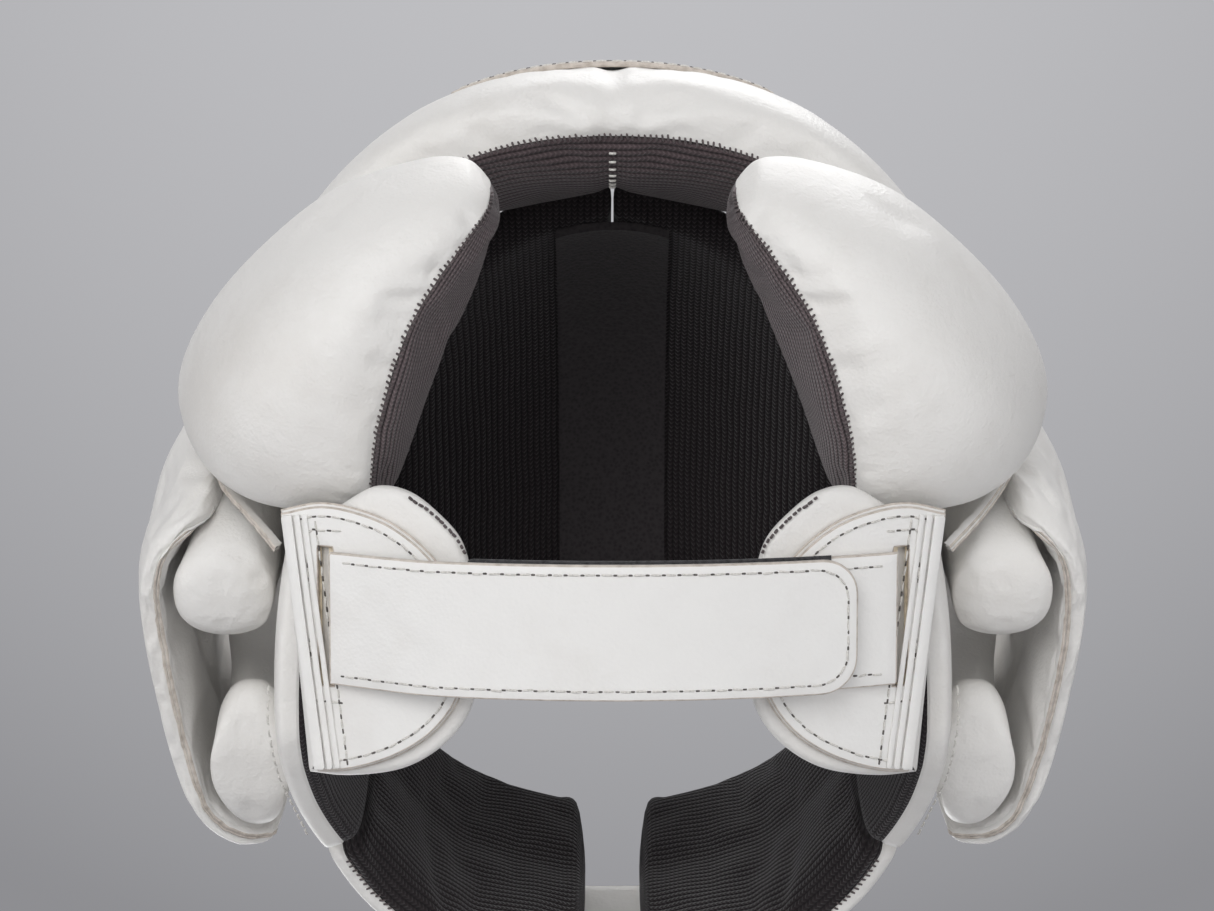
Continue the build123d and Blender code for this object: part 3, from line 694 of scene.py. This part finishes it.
# A faint centre seam joins the two halves of the forehead leather and of the knit.
co = coords(brow)
co_mid = co[: n * m].reshape(n, m, 3)
for i, depth in ((n // 2 - 1, 0.0009), (n // 2, 0.0009)):
    inward = co_mid[i].mean(axis=0) - co_mid[i]
    co_mid[i] += inward / np.linalg.norm(inward, axis=1, keepdims=True) * depth
co[: n * m] = co_mid.reshape(-1, 3)
set_coords(brow, co)
badge_cells = [i * m + j for i in range(int(n * 0.32), int(n * 0.68) + 1)
    for j in range(int(m * 100 / 360), int(m * 152 / 360) + 1)]
centre_seam = [i * m + j for i in (n // 2 - 1, n // 2) for j in range(m)]
inflate(brow, seam_pins(brow, 2, badge_cells + centre_seam), slack=0.022, cap=0.003, bend=2.0)
overcast("forehead_seam_thread", brow, 0, step=1.7, reach=1.0)
brow_top = coords(brow)[: n * m].reshape(n, m, 3) * 1000
p, q = brow_top[n // 2 - 1], brow_top[n // 2]
centre_ids = np.arange(m - int(m * 0.17), m - 1)
a, b = p[centre_ids], q[centre_ids]
outward = (a + b) / 2 - brow_top[n // 2].mean(axis=0)
outward /= np.linalg.norm(outward, axis=1, keepdims=True)
dots, side = resample((a + b) / 2 + outward * 1.0, 3.0, outward)
stitches("forehead_centre_stitches", dots - np.array([1.1, 0, 0]), dots + np.array([1.1, 0, 0]), side, 0.42)
subdivide(brow)
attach(brow, "shell")
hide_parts("forehead_cover", "forehead_foam", "forehead_lining")


def on_brow(a, b, h):
    """Badge mapping: a runs round the forehead and b up its section, both in millimetres, h out of it."""
    a, b, h = (np.atleast_1d(np.asarray(v, float)) for v in (a, b, h))
    phi = a / 2.12
    rows = brow_rows(phi)
    grow = -1.2
    theta = np.radians(42.0 + b * 1.85)

    def at(theta, extra):
        reach = (np.abs(np.cos(theta)) ** 2.6 + np.abs(np.sin(theta)) ** 2.6) ** (-1 / 2.6)
        v = (rows[:, 6] + grow + extra) * reach * np.sin(theta)
        u = (rows[:, 5] + grow + extra) * reach * np.cos(theta) + rows[:, 7] * v
        return np.column_stack([rows[:, 0] + rows[:, 2] * u, rows[:, 1] + rows[:, 3] * u, rows[:, 4] + v])

    return at(theta, h)


badge_outline = [(-46, -13), (-43, -15.5), (-38, -16), (38, -16), (43, -15.5), (46, -13), (46, 12),
    (43, 15), (38, 15.5),
                 (-38, 15.5), (-43, 15), (-46, 12)]
badge = cut("forehead_badge_leather", badge_outline, on_brow, 1.9, base=0.2, mats=(STRAP, RAW))
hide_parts("forehead_badge")
ring = evenly(ccw(np.asarray(badge_outline, float)), 1.0)
for k, inset in enumerate((1.8, 4.2)):
    sewn(f"forehead_badge_stitches_{k}", ring + edge_normals(ring) * inset, on_brow, 2.15, pitch=3.6,
        dash=2.7, closed=True)


def temple_rows(angles):
    share = (angles - 58.0) / 59.0
    return around(angles, blend(63, 57, share), blend(17, 9.5, share), blend(27.5, 22.5, share),
        TEMPLE_LEAN)


for side, s in SIDES:
    temple = pad(f"temple_pad_{side}", temple_rows(np.linspace(57.2, 117, 30)), grow=-0.6, count=40,
        points=60, ends=(6, 9), mirror=s)
    inflate(temple, seam_pins(temple), slack=0.03, cap=0.003, frames=12)
    overcast(f"temple_seam_thread_{side}", temple, 0, step=1.8, reach=1.0)
    subdivide(temple)
    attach(temple, "shell")
    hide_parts(f"temple_cover_{side}", f"temple_foam_{side}", f"temple_lining_{side}")

# ---------------------------------------------------------------- cheek pads
cheek_data = np.array([
    (34.0, -136.0, -53.0, -17.0, 8.5, 12.5, 0.13), (44.5, -129.7, -46.0, -19.0, 15.5, 22.5, 0.10),
    (61.5, -116.0, -39.0, -22.0, 23.5, 32.5, 0.10), (76.0, -97.5, -32.0, -24.0, 28.5, 40.5, 0.13),
    (87.0, -79.0, -23.0, -23.0, 31.5, 44.0, 0.19), (93.5, -64.0, -10.0, -19.5, 31.0, 43.5, 0.27),
    (95.0, -52.0, 0.0, -14.5, 26.0, 40.0, 0.30)])
heading = np.radians(cheek_data[:, 2])
cheek_rows = np.column_stack([cheek_data[:, :2], np.cos(heading), np.sin(heading), cheek_data[:, 3:]])
cheek_seam = (-92, -98, -106, -114, -120, -124, -126)


def pucker(o, which, centres, depth=0.9, reach=26.0, width=1.9):
    """Pinched folds that fan out of a seam and fade over the leather."""
    n, m, seam = o["grid"]
    co = coords(o) * 1000
    grid = co[: n * m].reshape(n, m, 3)
    middle = grid.mean(axis=1, keepdims=True)
    out = grid - middle
    out /= np.maximum(np.linalg.norm(out, axis=2, keepdims=True), 1e-6)
    j0, step = (0, 1) if which == 0 else (seam, -1)
    d = np.zeros(n)
    for k in range(1, m // 3):
        j, before = (j0 + step * k) % m, (j0 + step * (k - 1)) % m
        d = d + np.linalg.norm(grid[:, j] - grid[:, before], axis=1)
        fade = np.clip(1 - d / reach, 0, 1) * np.clip(d / 2.5, 0, 1)
        for place, lean, strength in centres:
            rows = np.arange(n) - (place * n + lean * d)
            dip = np.exp(-((rows / width) ** 2)) - 0.75 * np.exp(-(((rows - 2.1 * width) / (1.3
                * width)) ** 2))
            grid[:, j] -= out[:, j] * (depth * strength * fade * dip)[:, None]
    co[: n * m] = grid.reshape(-1, 3)
    set_coords(o, co / 1000)


for side, s in SIDES:
    cheek = pad(f"cheek_pad_{side}", cheek_rows, grow=-1.5, count=76, points=96,
        leather_span=(cheek_seam, 112), ends=(5, 10), end_scale=0.3, mirror=s, mats=(WHITE, KNIT_CHEEK))
    inflate(cheek, seam_pins(cheek), slack=0.018, cap=0.003, frames=14, bend=6.0)
    fan = [(0.07 + 0.018 * k + rng.uniform(-0.005, 0.005), rng.uniform(-0.05, 0.15), rng.uniform(0.2, 0.5))
        for k in range(6)]
    deep = [(0.22, 0.34, 1.0), (0.27, 0.28, 1.35), (0.31, 0.22, 0.8), (0.36, 0.16, 1.0), (0.42, 0.05, 0.45),
        (0.52, 0.0, 0.3)]
    deep = [(at + rng.uniform(-0.01, 0.01), lean, strength) for at, lean, strength in deep]
    low = [(0.78 + 0.03 * k + rng.uniform(-0.008, 0.008), rng.uniform(-0.3, 0.0), rng.uniform(0.5, 1.0))
        for k in range(5)]
    pucker(cheek, 0, fan + low, depth=0.8, reach=18.0, width=1.0)
    pucker(cheek, 0, deep, depth=1.0, reach=34.0, width=1.1)
    overcast(f"cheek_seam_thread_{side}", cheek, 0, step=1.6, reach=1.0)
    subdivide(cheek)
    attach(cheek, "shell")
    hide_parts(f"cheek_cover_{side}", f"cheek_foam_{side}", f"cheek_lining_{side}")

# ---------------------------------------------------------------- side panels with their jaw edge
def guard_inner_x(y):
    return np.minimum(125.9 - 0.05 * (y + 11) - 0.0017 * (y + 11) ** 2, 119.5 + 0.7 * (y + 41))


def panel_outer_x(y):
    return np.interp(y, (-50, -25, 0, 25, 55), (92.5, 95.8, 97.2, 95.8, 90.5))


jaw_y = np.array([-50, -40, -20, 4, 14, 30, 50, 57])
jaw_z = np.array([-58, -62, -71, -80, -78, -71, -61, -58])
for side, s in SIDES:
    angles = np.linspace(68, 119, 30)
    _, y, _, _ = head_plan(angles)
    bottom = np.interp(y, jaw_y, jaw_z)
    top = np.full(len(angles), 31.0)
    rows = around(angles, (top + bottom) / 2, np.full(len(angles), 7.2), (top - bottom) / 2, 0.0)
    panel = pad(f"side_panel_{side}", rows, grow=0.0, roundness=5.0, leather_span=(-100, 100), count=46,
        points=96, ends=(3, 3),
                end_scale=0.7, mirror=s, sink=0.2, mats=(WHITE, KNIT_DARK))
    hole = new_object("ear_cutter", [(x, 5 + 19 * math.cos(t), -10 + 22 * math.sin(t)) for x in (60, 120)
                                     for t in np.linspace(0, 2 * math.pi, 48, endpoint=False)],
                      [(i, (i + 1) % 48, 48 + (i + 1) % 48, 48 + i)
                          for i in range(48)] + [tuple(range(48))[::-1], tuple(range(48, 96))],
                      (INNER,))
    hole.scale.x = s
    bpy.context.view_layer.update()
    carve = panel.modifiers.new("ear", "BOOLEAN")
    carve.operation, carve.object = "DIFFERENCE", hole
    bpy.context.view_layer.update()
    settle(panel)
    bpy.data.objects.remove(hole)
    edge_y = np.arange(-8, 54, 4.0)
    edge = [np.column_stack([s * (panel_outer_x(y) - 0.1), y, np.interp(y, jaw_y, jaw_z) + 4.5])
        for y in (edge_y, edge_y + 2.7)]
    stitches(f"side_panel_stitches_{side}", *edge, np.tile([s, 0, -0.3], (len(edge_y), 1)), 0.34)
    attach(panel, "shell")
    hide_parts(f"side_panel_cover_{side}", f"side_panel_foam_{side}", f"side_panel_lining_{side}",
        f"jaw_plate_{side}")

# ---------------------------------------------------------------- soft rolls round the ears
ROLL_SIDES, ROLL_RINGS = 44, 74
roll_data = np.array([
    (-24.0, -54.0, 0.0, 1.0, 4.0), (-24.5, -51.5, 0.0, 1.0, 10.0), (-25.0, -45.0, 0.0, 1.0, 15.5), (-25.5,
        -34.0, 0.0, 1.0, 17.5),
    (-25.5, -20.0, 0.05, 1.0, 17.0), (-22.5, -2.0, 0.35, 1.0, 14.5), (-10.0, 12.0, 1.0, 0.7, 11.5), (5.5,
        17.0, 1.0, 0.0, 11.0),
    (21.0, 12.0, 1.0, -0.7, 12.0), (34.0, -2.0, 0.35, -1.0, 16.5), (37.5, -20.0, 0.0, -1.0, 19.5), (36.0,
        -32.0, 0.0, -1.0, 21.0),
    (33.5, -42.0, 0.0, -1.0, 24.5), (33.5, -49.5, 0.0, -1.0, 19.0), (33.5, -53.5, 0.0, -1.0, 8.0)])
for side, s in SIDES:
    rows = catmull(roll_data, ROLL_RINGS)
    y, z, ty, tz, half = rows.T
    size = np.hypot(ty, tz)
    ty, tz = ty / size, tz / size
    low = panel_outer_x(y)
    high = guard_inner_x(np.where(y < 5, y - half / 2, y + half / 2))
    shrink = np.clip(half / 13.0, 0.3, 1.0) ** 0.8
    half_x = ((high - low) / 2 - 0.9) * shrink
    t = np.linspace(0, 2 * math.pi, ROLL_SIDES, endpoint=False)
    ring = []
    for k in range(len(rows)):
        u, v = half_x[k] * power(np.cos(t), 0.85), half[k] * power(np.sin(t), 0.85)
        ring.append(np.column_stack([(low[k] + high[k]) / 2 + u, y[k] + v * tz[k], z[k] - v * ty[k]]))
    pts = np.array(ring)
    faces, cells = grid_faces(len(rows), ROLL_SIDES)
    verts = np.vstack([pts.reshape(-1, 3), pts[0].mean(axis=0), pts[-1].mean(axis=0)])
    c = len(rows) * ROLL_SIDES
    faces += [(c, (k + 1) % ROLL_SIDES, k) for k in range(ROLL_SIDES)] + [(c + 1, c - ROLL_SIDES + k,
        c - ROLL_SIDES + (k + 1) % ROLL_SIDES) for k in range(ROLL_SIDES)]
    verts = verts * np.array([s, 1, 1])
    faces = [tuple(reversed(f)) for f in faces] if s > 0 else faces
    roll = new_object(f"ear_roll_soft_{side}", verts, faces, (WHITE,))
    roll["grid"] = [len(rows), ROLL_SIDES, ROLL_SIDES // 2]
    spine = [i * ROLL_SIDES + j for i in range(len(rows))
        for j in range(ROLL_SIDES // 2 - 1, ROLL_SIDES // 2 + 2)]
    ends = list(range(ROLL_SIDES)) + list(range(c - ROLL_SIDES, c + 2))
    inflate(roll, spine + ends, slack=0.02, cap=0.0018, frames=12, bend=5.0)
    subdivide(roll)
    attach(roll, "shell")
    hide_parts(f"ear_roll_{side}")

# ---------------------------------------------------------------- ear guards
def raw_seam(name, p, across, out, flip):
    """Two raw leather edges sewn back to back, standing out of a seam."""
    waves = np.convolve(rng.normal(0, 1.3, len(p) + 8), np.ones(9) / 9, "valid")[:, None]
    k = len(p)
    verts, faces, slots = [], [], []
    for shift, height in ((-0.6, 2.7), (0.6, 2.2)):
        base = len(verts)
        for off, high in ((-0.48, -1.0), (-0.48, height), (0.48, height), (0.48, -1.0)):
            verts += list(p + across * (shift + off + waves * 0.5) + out
                * (high + (waves * 0.6 if high > 0 else 0)))
        for r in range(3):
            faces += [(base + r * k + i, base + (r + 1) * k + i, base + (r + 1) * k + i + 1,
                base + r * k + i + 1) for i in range(k - 1)]
            slots += [1 if r == 1 else 0] * (k - 1)
    if flip:
        faces = [tuple(reversed(f)) for f in faces]
    seam = new_object(name, verts, faces, (STRAP, RAW), slots)
    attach(seam, "shell")


# The cheek leather, the ear roll's cover and the guard meet in a raw seam under the ear.
for side, s in SIDES:
    line = catmull([(117.0, -53.0, -17.0), (110.0, -50.5, -32.0), (102.0, -47.5, -45.0),
        (93.5, -43.5, -54.5)], 40) * np.array([s, 1, 1])
    tangent = np.gradient(line, axis=0)
    tangent /= np.linalg.norm(tangent, axis=1, keepdims=True)
    out = np.array([0.35 * s, -0.2, -0.9])
    raw_seam(f"cheek_ear_raw_seam_{side}", line, np.cross(tangent, out), out, s < 0)

guard_line = np.array([(113.0, -46.5), (121.5, -44.0), (128.0, -37.5), (130.8, -26.0), (130.5, -8.0),
                       (128.6, 11.0), (125.6, 32.0), (121.0, 50.0), (113.0, 61.5), (100.5, 66.5)])
for side, s in SIDES:
    line = catmull(guard_line, 90)
    tangent = np.gradient(line, axis=0)
    tangent /= np.linalg.norm(tangent, axis=1, keepdims=True)
    share = np.linspace(0, 1, 90)
    half_h = 41.0 * (1 - 0.3 * np.abs(2 * share - 1) ** 5)
    out_x, out_y = tangent[:, 1], -tangent[:, 0]
    rows = np.column_stack([line, out_x, out_y, np.full(90, -9.0), np.full(90, 5.2), half_h, np.zeros(90)])
    guard = pad(f"ear_guard_pad_{side}", rows, grow=-0.2, roundness=3.0, leather_span=(-105, 97), count=80,
        points=84, ends=(4, 4),
                end_scale=0.5, mats=(WHITE, INNER), mirror=s, sink=0.9)
    inflate(guard, seam_pins(guard, 2), slack=0.03, cap=0.0015, frames=12)
    p, normal, across = seam_line(guard, 0)
    raw_seam(f"ear_guard_raw_seam_{side}", p[1:-1], across[1:-1], np.array([0, 0, -1.0]), s > 0)
    subdivide(guard)
    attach(guard, "shell")
    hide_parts(f"ear_guard_cover_{side}", f"ear_guard_foam_{side}", f"ear_guard_lining_{side}")

# ---------------------------------------------------------------- rear wings
for side, s in SIDES:
    angles = np.linspace(120.5, 176, 30)
    rows = around(angles, -6.0, np.full(30, 10.0), np.full(30, 46.0), 0.0)
    wing = pad(f"rear_wing_pad_{side}", rows, grow=-0.8, roundness=3.6, leather_span=(-80, 80), count=44,
        points=80, ends=(7, 7),
               end_scale=0.35, mirror=s, mats=(WHITE, KNIT_DARK))
    inflate(wing, seam_pins(wing), slack=0.015, cap=0.002, frames=12, bend=4.0)
    overcast(f"rear_wing_seam_thread_{side}", wing, 0, body=f"wing_{side}", step=1.9, reach=1.0, skip=3)
    subdivide(wing)
    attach(wing, f"wing_{side}")
    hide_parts(f"rear_wing_cover_{side}", f"rear_wing_foam_{side}", f"rear_wing_lining_{side}")

# ---------------------------------------------------------------- chin: patches, flaps, straps
CHIN_R, CHIN_TILT = 158.0, math.radians(22)
CHIN_MID = np.array([0, -47.0, -104.5])
DOWN = np.array([0, -math.sin(CHIN_TILT), -math.cos(CHIN_TILT)])
FORWARD = np.array([0, -math.cos(CHIN_TILT), math.sin(CHIN_TILT)])
OVER_LIFT = 2.4 + 0.1 + 1.2 + 0.3 + 1.2 + 0.1


def chin_place(mirror=1, climb=None):
    def place(a, b, h):
        a, b, h = (np.atleast_1d(np.asarray(v, float)) for v in (a, b, h))
        lift = h + (climb(a) if climb else 0)
        theta = np.arcsin(np.clip(a / (CHIN_R + h), -0.99, 0.99))
        x = (CHIN_R + lift) * np.sin(theta)
        depth = (CHIN_R + lift) * np.cos(theta) - CHIN_R
        return CHIN_MID + np.outer(x * mirror, [1, 0, 0]) + np.outer(depth, DOWN) + np.outer(b, FORWARD)
    return place


patch_edge = [(81.5, -43.0), (72, -41.5), (60, -37), (50, -30.5), (43, -22), (39.5, -12), (39.5, -1),
              (43, 9), (50, 18.5), (59.5, 25.5), (70, 29), (80, 29.8), (91, 27)]
flap_edge = [(84, -45), (72, -44.5), (57, -41), (46, -34), (39, -25), (36, -14), (36, -2), (37.5, 10),
             (40.5, 21.5), (47, 29), (55, 34.5), (64, 35.5), (73, 30.5), (82, 24), (90, 17)]
for side, s in SIDES:
    place = chin_place(s)
    curve = smooth_path(patch_edge)
    flap_curve = smooth_path(flap_edge)
    slot_hole = [(75.9, -19), (80.1, -19), (80.1, 19), (75.9, 19)]
    flap = cut(f"chin_flap_pad_{side}", flap_curve, place, 7.2, base=-11.0, mats=(WHITE, WHITE), bevel=2.4,
        step=2.4)
    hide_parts(f"chin_flap_{side}")
    sewn(f"chin_flap_thread_{side}", smooth_path([(39.2, 18), (41.5, 22.5), (47.5, 28.6), (55, 33.6)], 60),
        place, -3.9, pitch=1.7,
         dash=1.3, radius=0.42, holes=False, mat=FUZZ)
    patch = cut(f"chin_patch_leather_{side}", curve, place, 1.5, base=-2.3, holes=[slot_hole])
    cut(f"chin_patch_backing_{side}", offset_path(curve, 0.9), place, 1.2, base=-3.7, holes=[slot_hole])
    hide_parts(f"chin_patch_{side}")
    sewn(f"chin_patch_edge_stitches_{side}", offset_path(curve, -2.6)[6:-6], place, -0.72)
    fold_line = np.array([(90.6, 26.6), (81.6, -42.6)])
    way = (fold_line[1] - fold_line[0]) / np.linalg.norm(fold_line[1] - fold_line[0])
    inward = np.array([way[1], -way[0]])
    inward = inward if inward[0] < 0 else -inward
    sewn(f"chin_patch_fold_stitches_{side}", fold_line + inward * 9.6, place, -0.72, pitch=4.2)
    bracket = np.array([(72.0, 23.5), (83.4, 23.5), (82.2, -23.5), (71.0, -23.5)])
    sewn(f"chin_slot_stitches_{side}", bracket, place, -0.72)
    lip_outer = [(75.2, -20.2), (80.9, -20.2), (80.9, 20.2), (75.2, 20.2)]
    lip_inner = [(77.2, -18.6), (79.3, -18.6), (79.3, 18.6), (77.2, 18.6)]
    cut(f"chin_slot_lip_{side}", lip_outer, place, 0.9, base=-3.4, holes=[lip_inner], mats=(LIP, LIP),
        bevel=0.3)
    # The patch's straight edge is folded over in layers.
    for k, (near, far, thick) in enumerate(((-0.2, 3.0, 1.3), (3.5, 5.3, 0.8), (5.8, 7.4, 0.55))):
        strip = [fold_line[0] + inward * near, fold_line[1] + inward * near, fold_line[1] + inward * far,
            fold_line[0] + inward * far]
        cut(f"chin_fold_welt_{k}_{side}", strip, place, thick, base=-0.85, mats=(STRAP, STRAP), bevel=0.25,
            edge_wave=0.1)

width = 18.0


def rounded_end(x0, x1, half, radius, count=12):
    """A strap outline from x0 to x1 with round corners at x1."""
    way = 1 if x1 > x0 else -1
    top = [(x1 - way * radius + way * radius * math.sin(t), half - radius + radius * math.cos(t))
        for t in np.linspace(0, math.pi / 2, count)]
    low = [(x, -y) for x, y in reversed(top)]
    return [(x0, half)] + top + low + [(x0, -half)]


strap_under = cut("chin_strap_under_leather", rounded_end(76.8, -40, width, 4), chin_place(), 2.3, base=0.0,
    body="chin_under")
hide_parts("chin_strap_under")
loop = cut("chin_loop_tape_pile", rounded_end(58, -39, width + 0.6, 2), chin_place(), 1.2, base=2.4,
    body="chin_under", mats=(LOOP_TAPE, LOOP_TAPE), edge_wave=0.05)
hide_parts("chin_loop_tape")
for k, sign in enumerate((1, -1)):
    sewn(f"chin_under_stitches_{k}", [(74, sign * 14.6), (59, sign * 14.6)], chin_place(), 2.35,
        body="chin_under")


def climb(x):
    share = np.clip((np.asarray(x) + 77.0) / (77.0 - 43.0), 0, 1)
    return OVER_LIFT * share * share * (3 - 2 * share)


over_place = chin_place(1, climb)
strap_over = cut("chin_strap_over_leather", rounded_end(-76.8, 63, width, 9.5), over_place, 2.3, base=0.05,
    body="chin_over", edge_wave=0.12)
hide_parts("chin_strap_over")
seam_path = rounded_end(-74.5, 63 - 2.6, width - 2.6, 8.0)
sewn("chin_over_stitches", seam_path, over_place, 2.4, body="chin_over", pitch=4.1, dash=2.9)
hook = cut("chin_hook_tape_pile", [(-30, 16), (55, 16), (55, -16), (-30, -16)], chin_place(), 1.2, base=4.0,
    body="chin_over", mats=(HOOK_TAPE, HOOK_TAPE))
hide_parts("chin_hook_tape")

# ---------------------------------------------------------------- rear strap and its tapes
phis = np.linspace(140, 222, 400)
px, py, _, _ = head_plan(phis, 24.0)
arc = np.r_[0, np.cumsum(np.hypot(np.diff(px), np.diff(py)))]
arc -= np.interp(180, phis, arc)


def rear_place(a, b, h):
    a, b, h = (np.atleast_1d(np.asarray(v, float)) for v in (a, b, h))
    x, y, _, _ = head_plan(np.interp(a, arc, phis), h)
    return np.column_stack([x, y, b - 6.0])


def arc_at(phi):
    return float(np.interp(phi, phis, arc))


LOOP_OUT, HOOK_OUT, REAR_OUT = 20.4, 21.9, 23.2
loop = cut("rear_loop_tape_pile",
    [(arc_at(150), 18), (arc_at(174), 18), (arc_at(174), -18), (arc_at(150), -18)], rear_place, 1.2,
           base=LOOP_OUT, body="wing_left", mats=(LOOP_TAPE, LOOP_TAPE))
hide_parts("rear_loop_tape")
hook = cut("rear_hook_tape_pile",
    [(arc_at(156), 16), (arc_at(173), 16), (arc_at(173), -16), (arc_at(156), -16)], rear_place, 1.2,
           base=HOOK_OUT, body="rear_closure", mats=(HOOK_TAPE, HOOK_TAPE))
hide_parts("rear_hook_tape")
strap = cut("rear_strap_leather", rounded_end(arc_at(202), arc_at(153), 19, 10), rear_place, 2.3,
    base=REAR_OUT, body="rear_closure", edge_wave=0.1)
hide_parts("rear_strap")
sewn("rear_strap_stitches", rounded_end(arc_at(200), arc_at(153) + 2.8, 16.2, 8), rear_place,
    REAR_OUT + 2.35, body="rear_closure")
anchor_box = [(arc_at(203), 23), (arc_at(212), 23), (arc_at(212), -23), (arc_at(203), -23)]
anchor = cut("rear_strap_anchor_leather", anchor_box, rear_place, 2.3, base=LOOP_OUT, body="wing_right")
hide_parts("rear_strap_anchor")
box_path = [(arc_at(204.2), 20.5), (arc_at(210.8), 20.5), (arc_at(210.8), -20.5), (arc_at(204.2), -20.5)]
sewn("rear_anchor_stitches", box_path, rear_place, LOOP_OUT + 2.35, body="wing_right", closed=True)

# ---------------------------------------------------------------- crown
def dome_pad(name, half_w, half_l, rise, thick, rim, gap, mirror, mats):
    """Half of a padded dome, as a closed shell with rounded edges."""
    na, nb = 60, 34
    inner_half = np.array([half_w, half_l, rise])
    a = np.linspace(math.radians(-90), math.radians(90), na)
    edge = np.linspace(0, 1, nb)
    top_shape, low_shape = [], []
    for sign, store in ((1, top_shape), (-1, low_shape)):
        for i in range(na):
            for k in range(nb):
                ring = edge[k]
                closing = (1 - (2 * abs(ring - 0.5)) ** 8) ** 0.5
                closing *= (1 - (abs(a[i]) / (math.pi / 2)) ** 14) ** 0.5
                mid = 0.5 + 0.5 * sign * max(closing, 0.05)
                s = inner_half + thick * mid
                ratio = (rim - 20.0) / s[2]
                r_max = math.sqrt(max(0, 1 - ratio**2))
                x_rim, y_rim = s[0] * r_max * math.cos(a[i]), s[1] * r_max * math.sin(a[i])
                near = min(1.0, max(0.0, (y_rim + 72.0) / 30.0))
                edge_x = 0.3 + (gap - 0.3) * near * near * (3 - 2 * near)
                x = edge_x + (max(x_rim, edge_x + 0.5) - edge_x) * ring
                y = y_rim
                inside_term = max(0.0, 1 - (x / s[0]) ** 2 - (y / s[1]) ** 2)
                z = 20.0 + s[2] * math.sqrt(inside_term)
                store.append((x * mirror, y, z))
    verts = np.array(top_shape + low_shape)
    faces, slots = [], []
    k = na * nb
    for i in range(na - 1):
        for j in range(nb - 1):
            q = (i * nb + j, i * nb + j + 1, (i + 1) * nb + j + 1, (i + 1) * nb + j)
            faces += [q, tuple(k + v for v in reversed(q))]
            slots += [1 if verts[q[0]][1] < -35 and (j > nb - 6 or i < 7) else 0, 1]
    rim_ids = [i * nb + nb - 1 for i in range(na)] + [(na - 1) * nb + j
        for j in reversed(range(nb - 1))] + \
              [i * nb for i in reversed(range(na - 1))] + list(range(1, nb - 1))
    for p, q in zip(rim_ids, rim_ids[1:] + rim_ids[:1]):
        faces.append((p, k + p, k + q, q))
        slots.append(1)
    if mirror < 0:
        faces = [tuple(reversed(f)) for f in faces]
    uvs = []
    for f in faces:
        uvs += [(verts[v][1] * 0.001, verts[v][0] * 0.001) for v in f]
    return new_object(name, verts, faces, mats, slots, True, uvs)


for side, s in SIDES:
    crown = dome_pad(f"crown_pad_{side}", 90.0, 108.0, 100.0, 11.0, 84.0, 7.0, s, (WHITE, KNIT_DARK))
    subdivide(crown)
    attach(crown, "shell")
    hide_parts(f"crown_cover_{side}", f"crown_foam_{side}", f"crown_lining_{side}")
for name, mat in (("crown_tongue", TONGUE), ("crown_eyelets", NICKEL), ("crown_lace", LACE)):
    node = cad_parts[name]
    node.data.materials.clear()
    node.data.materials.append(mat)
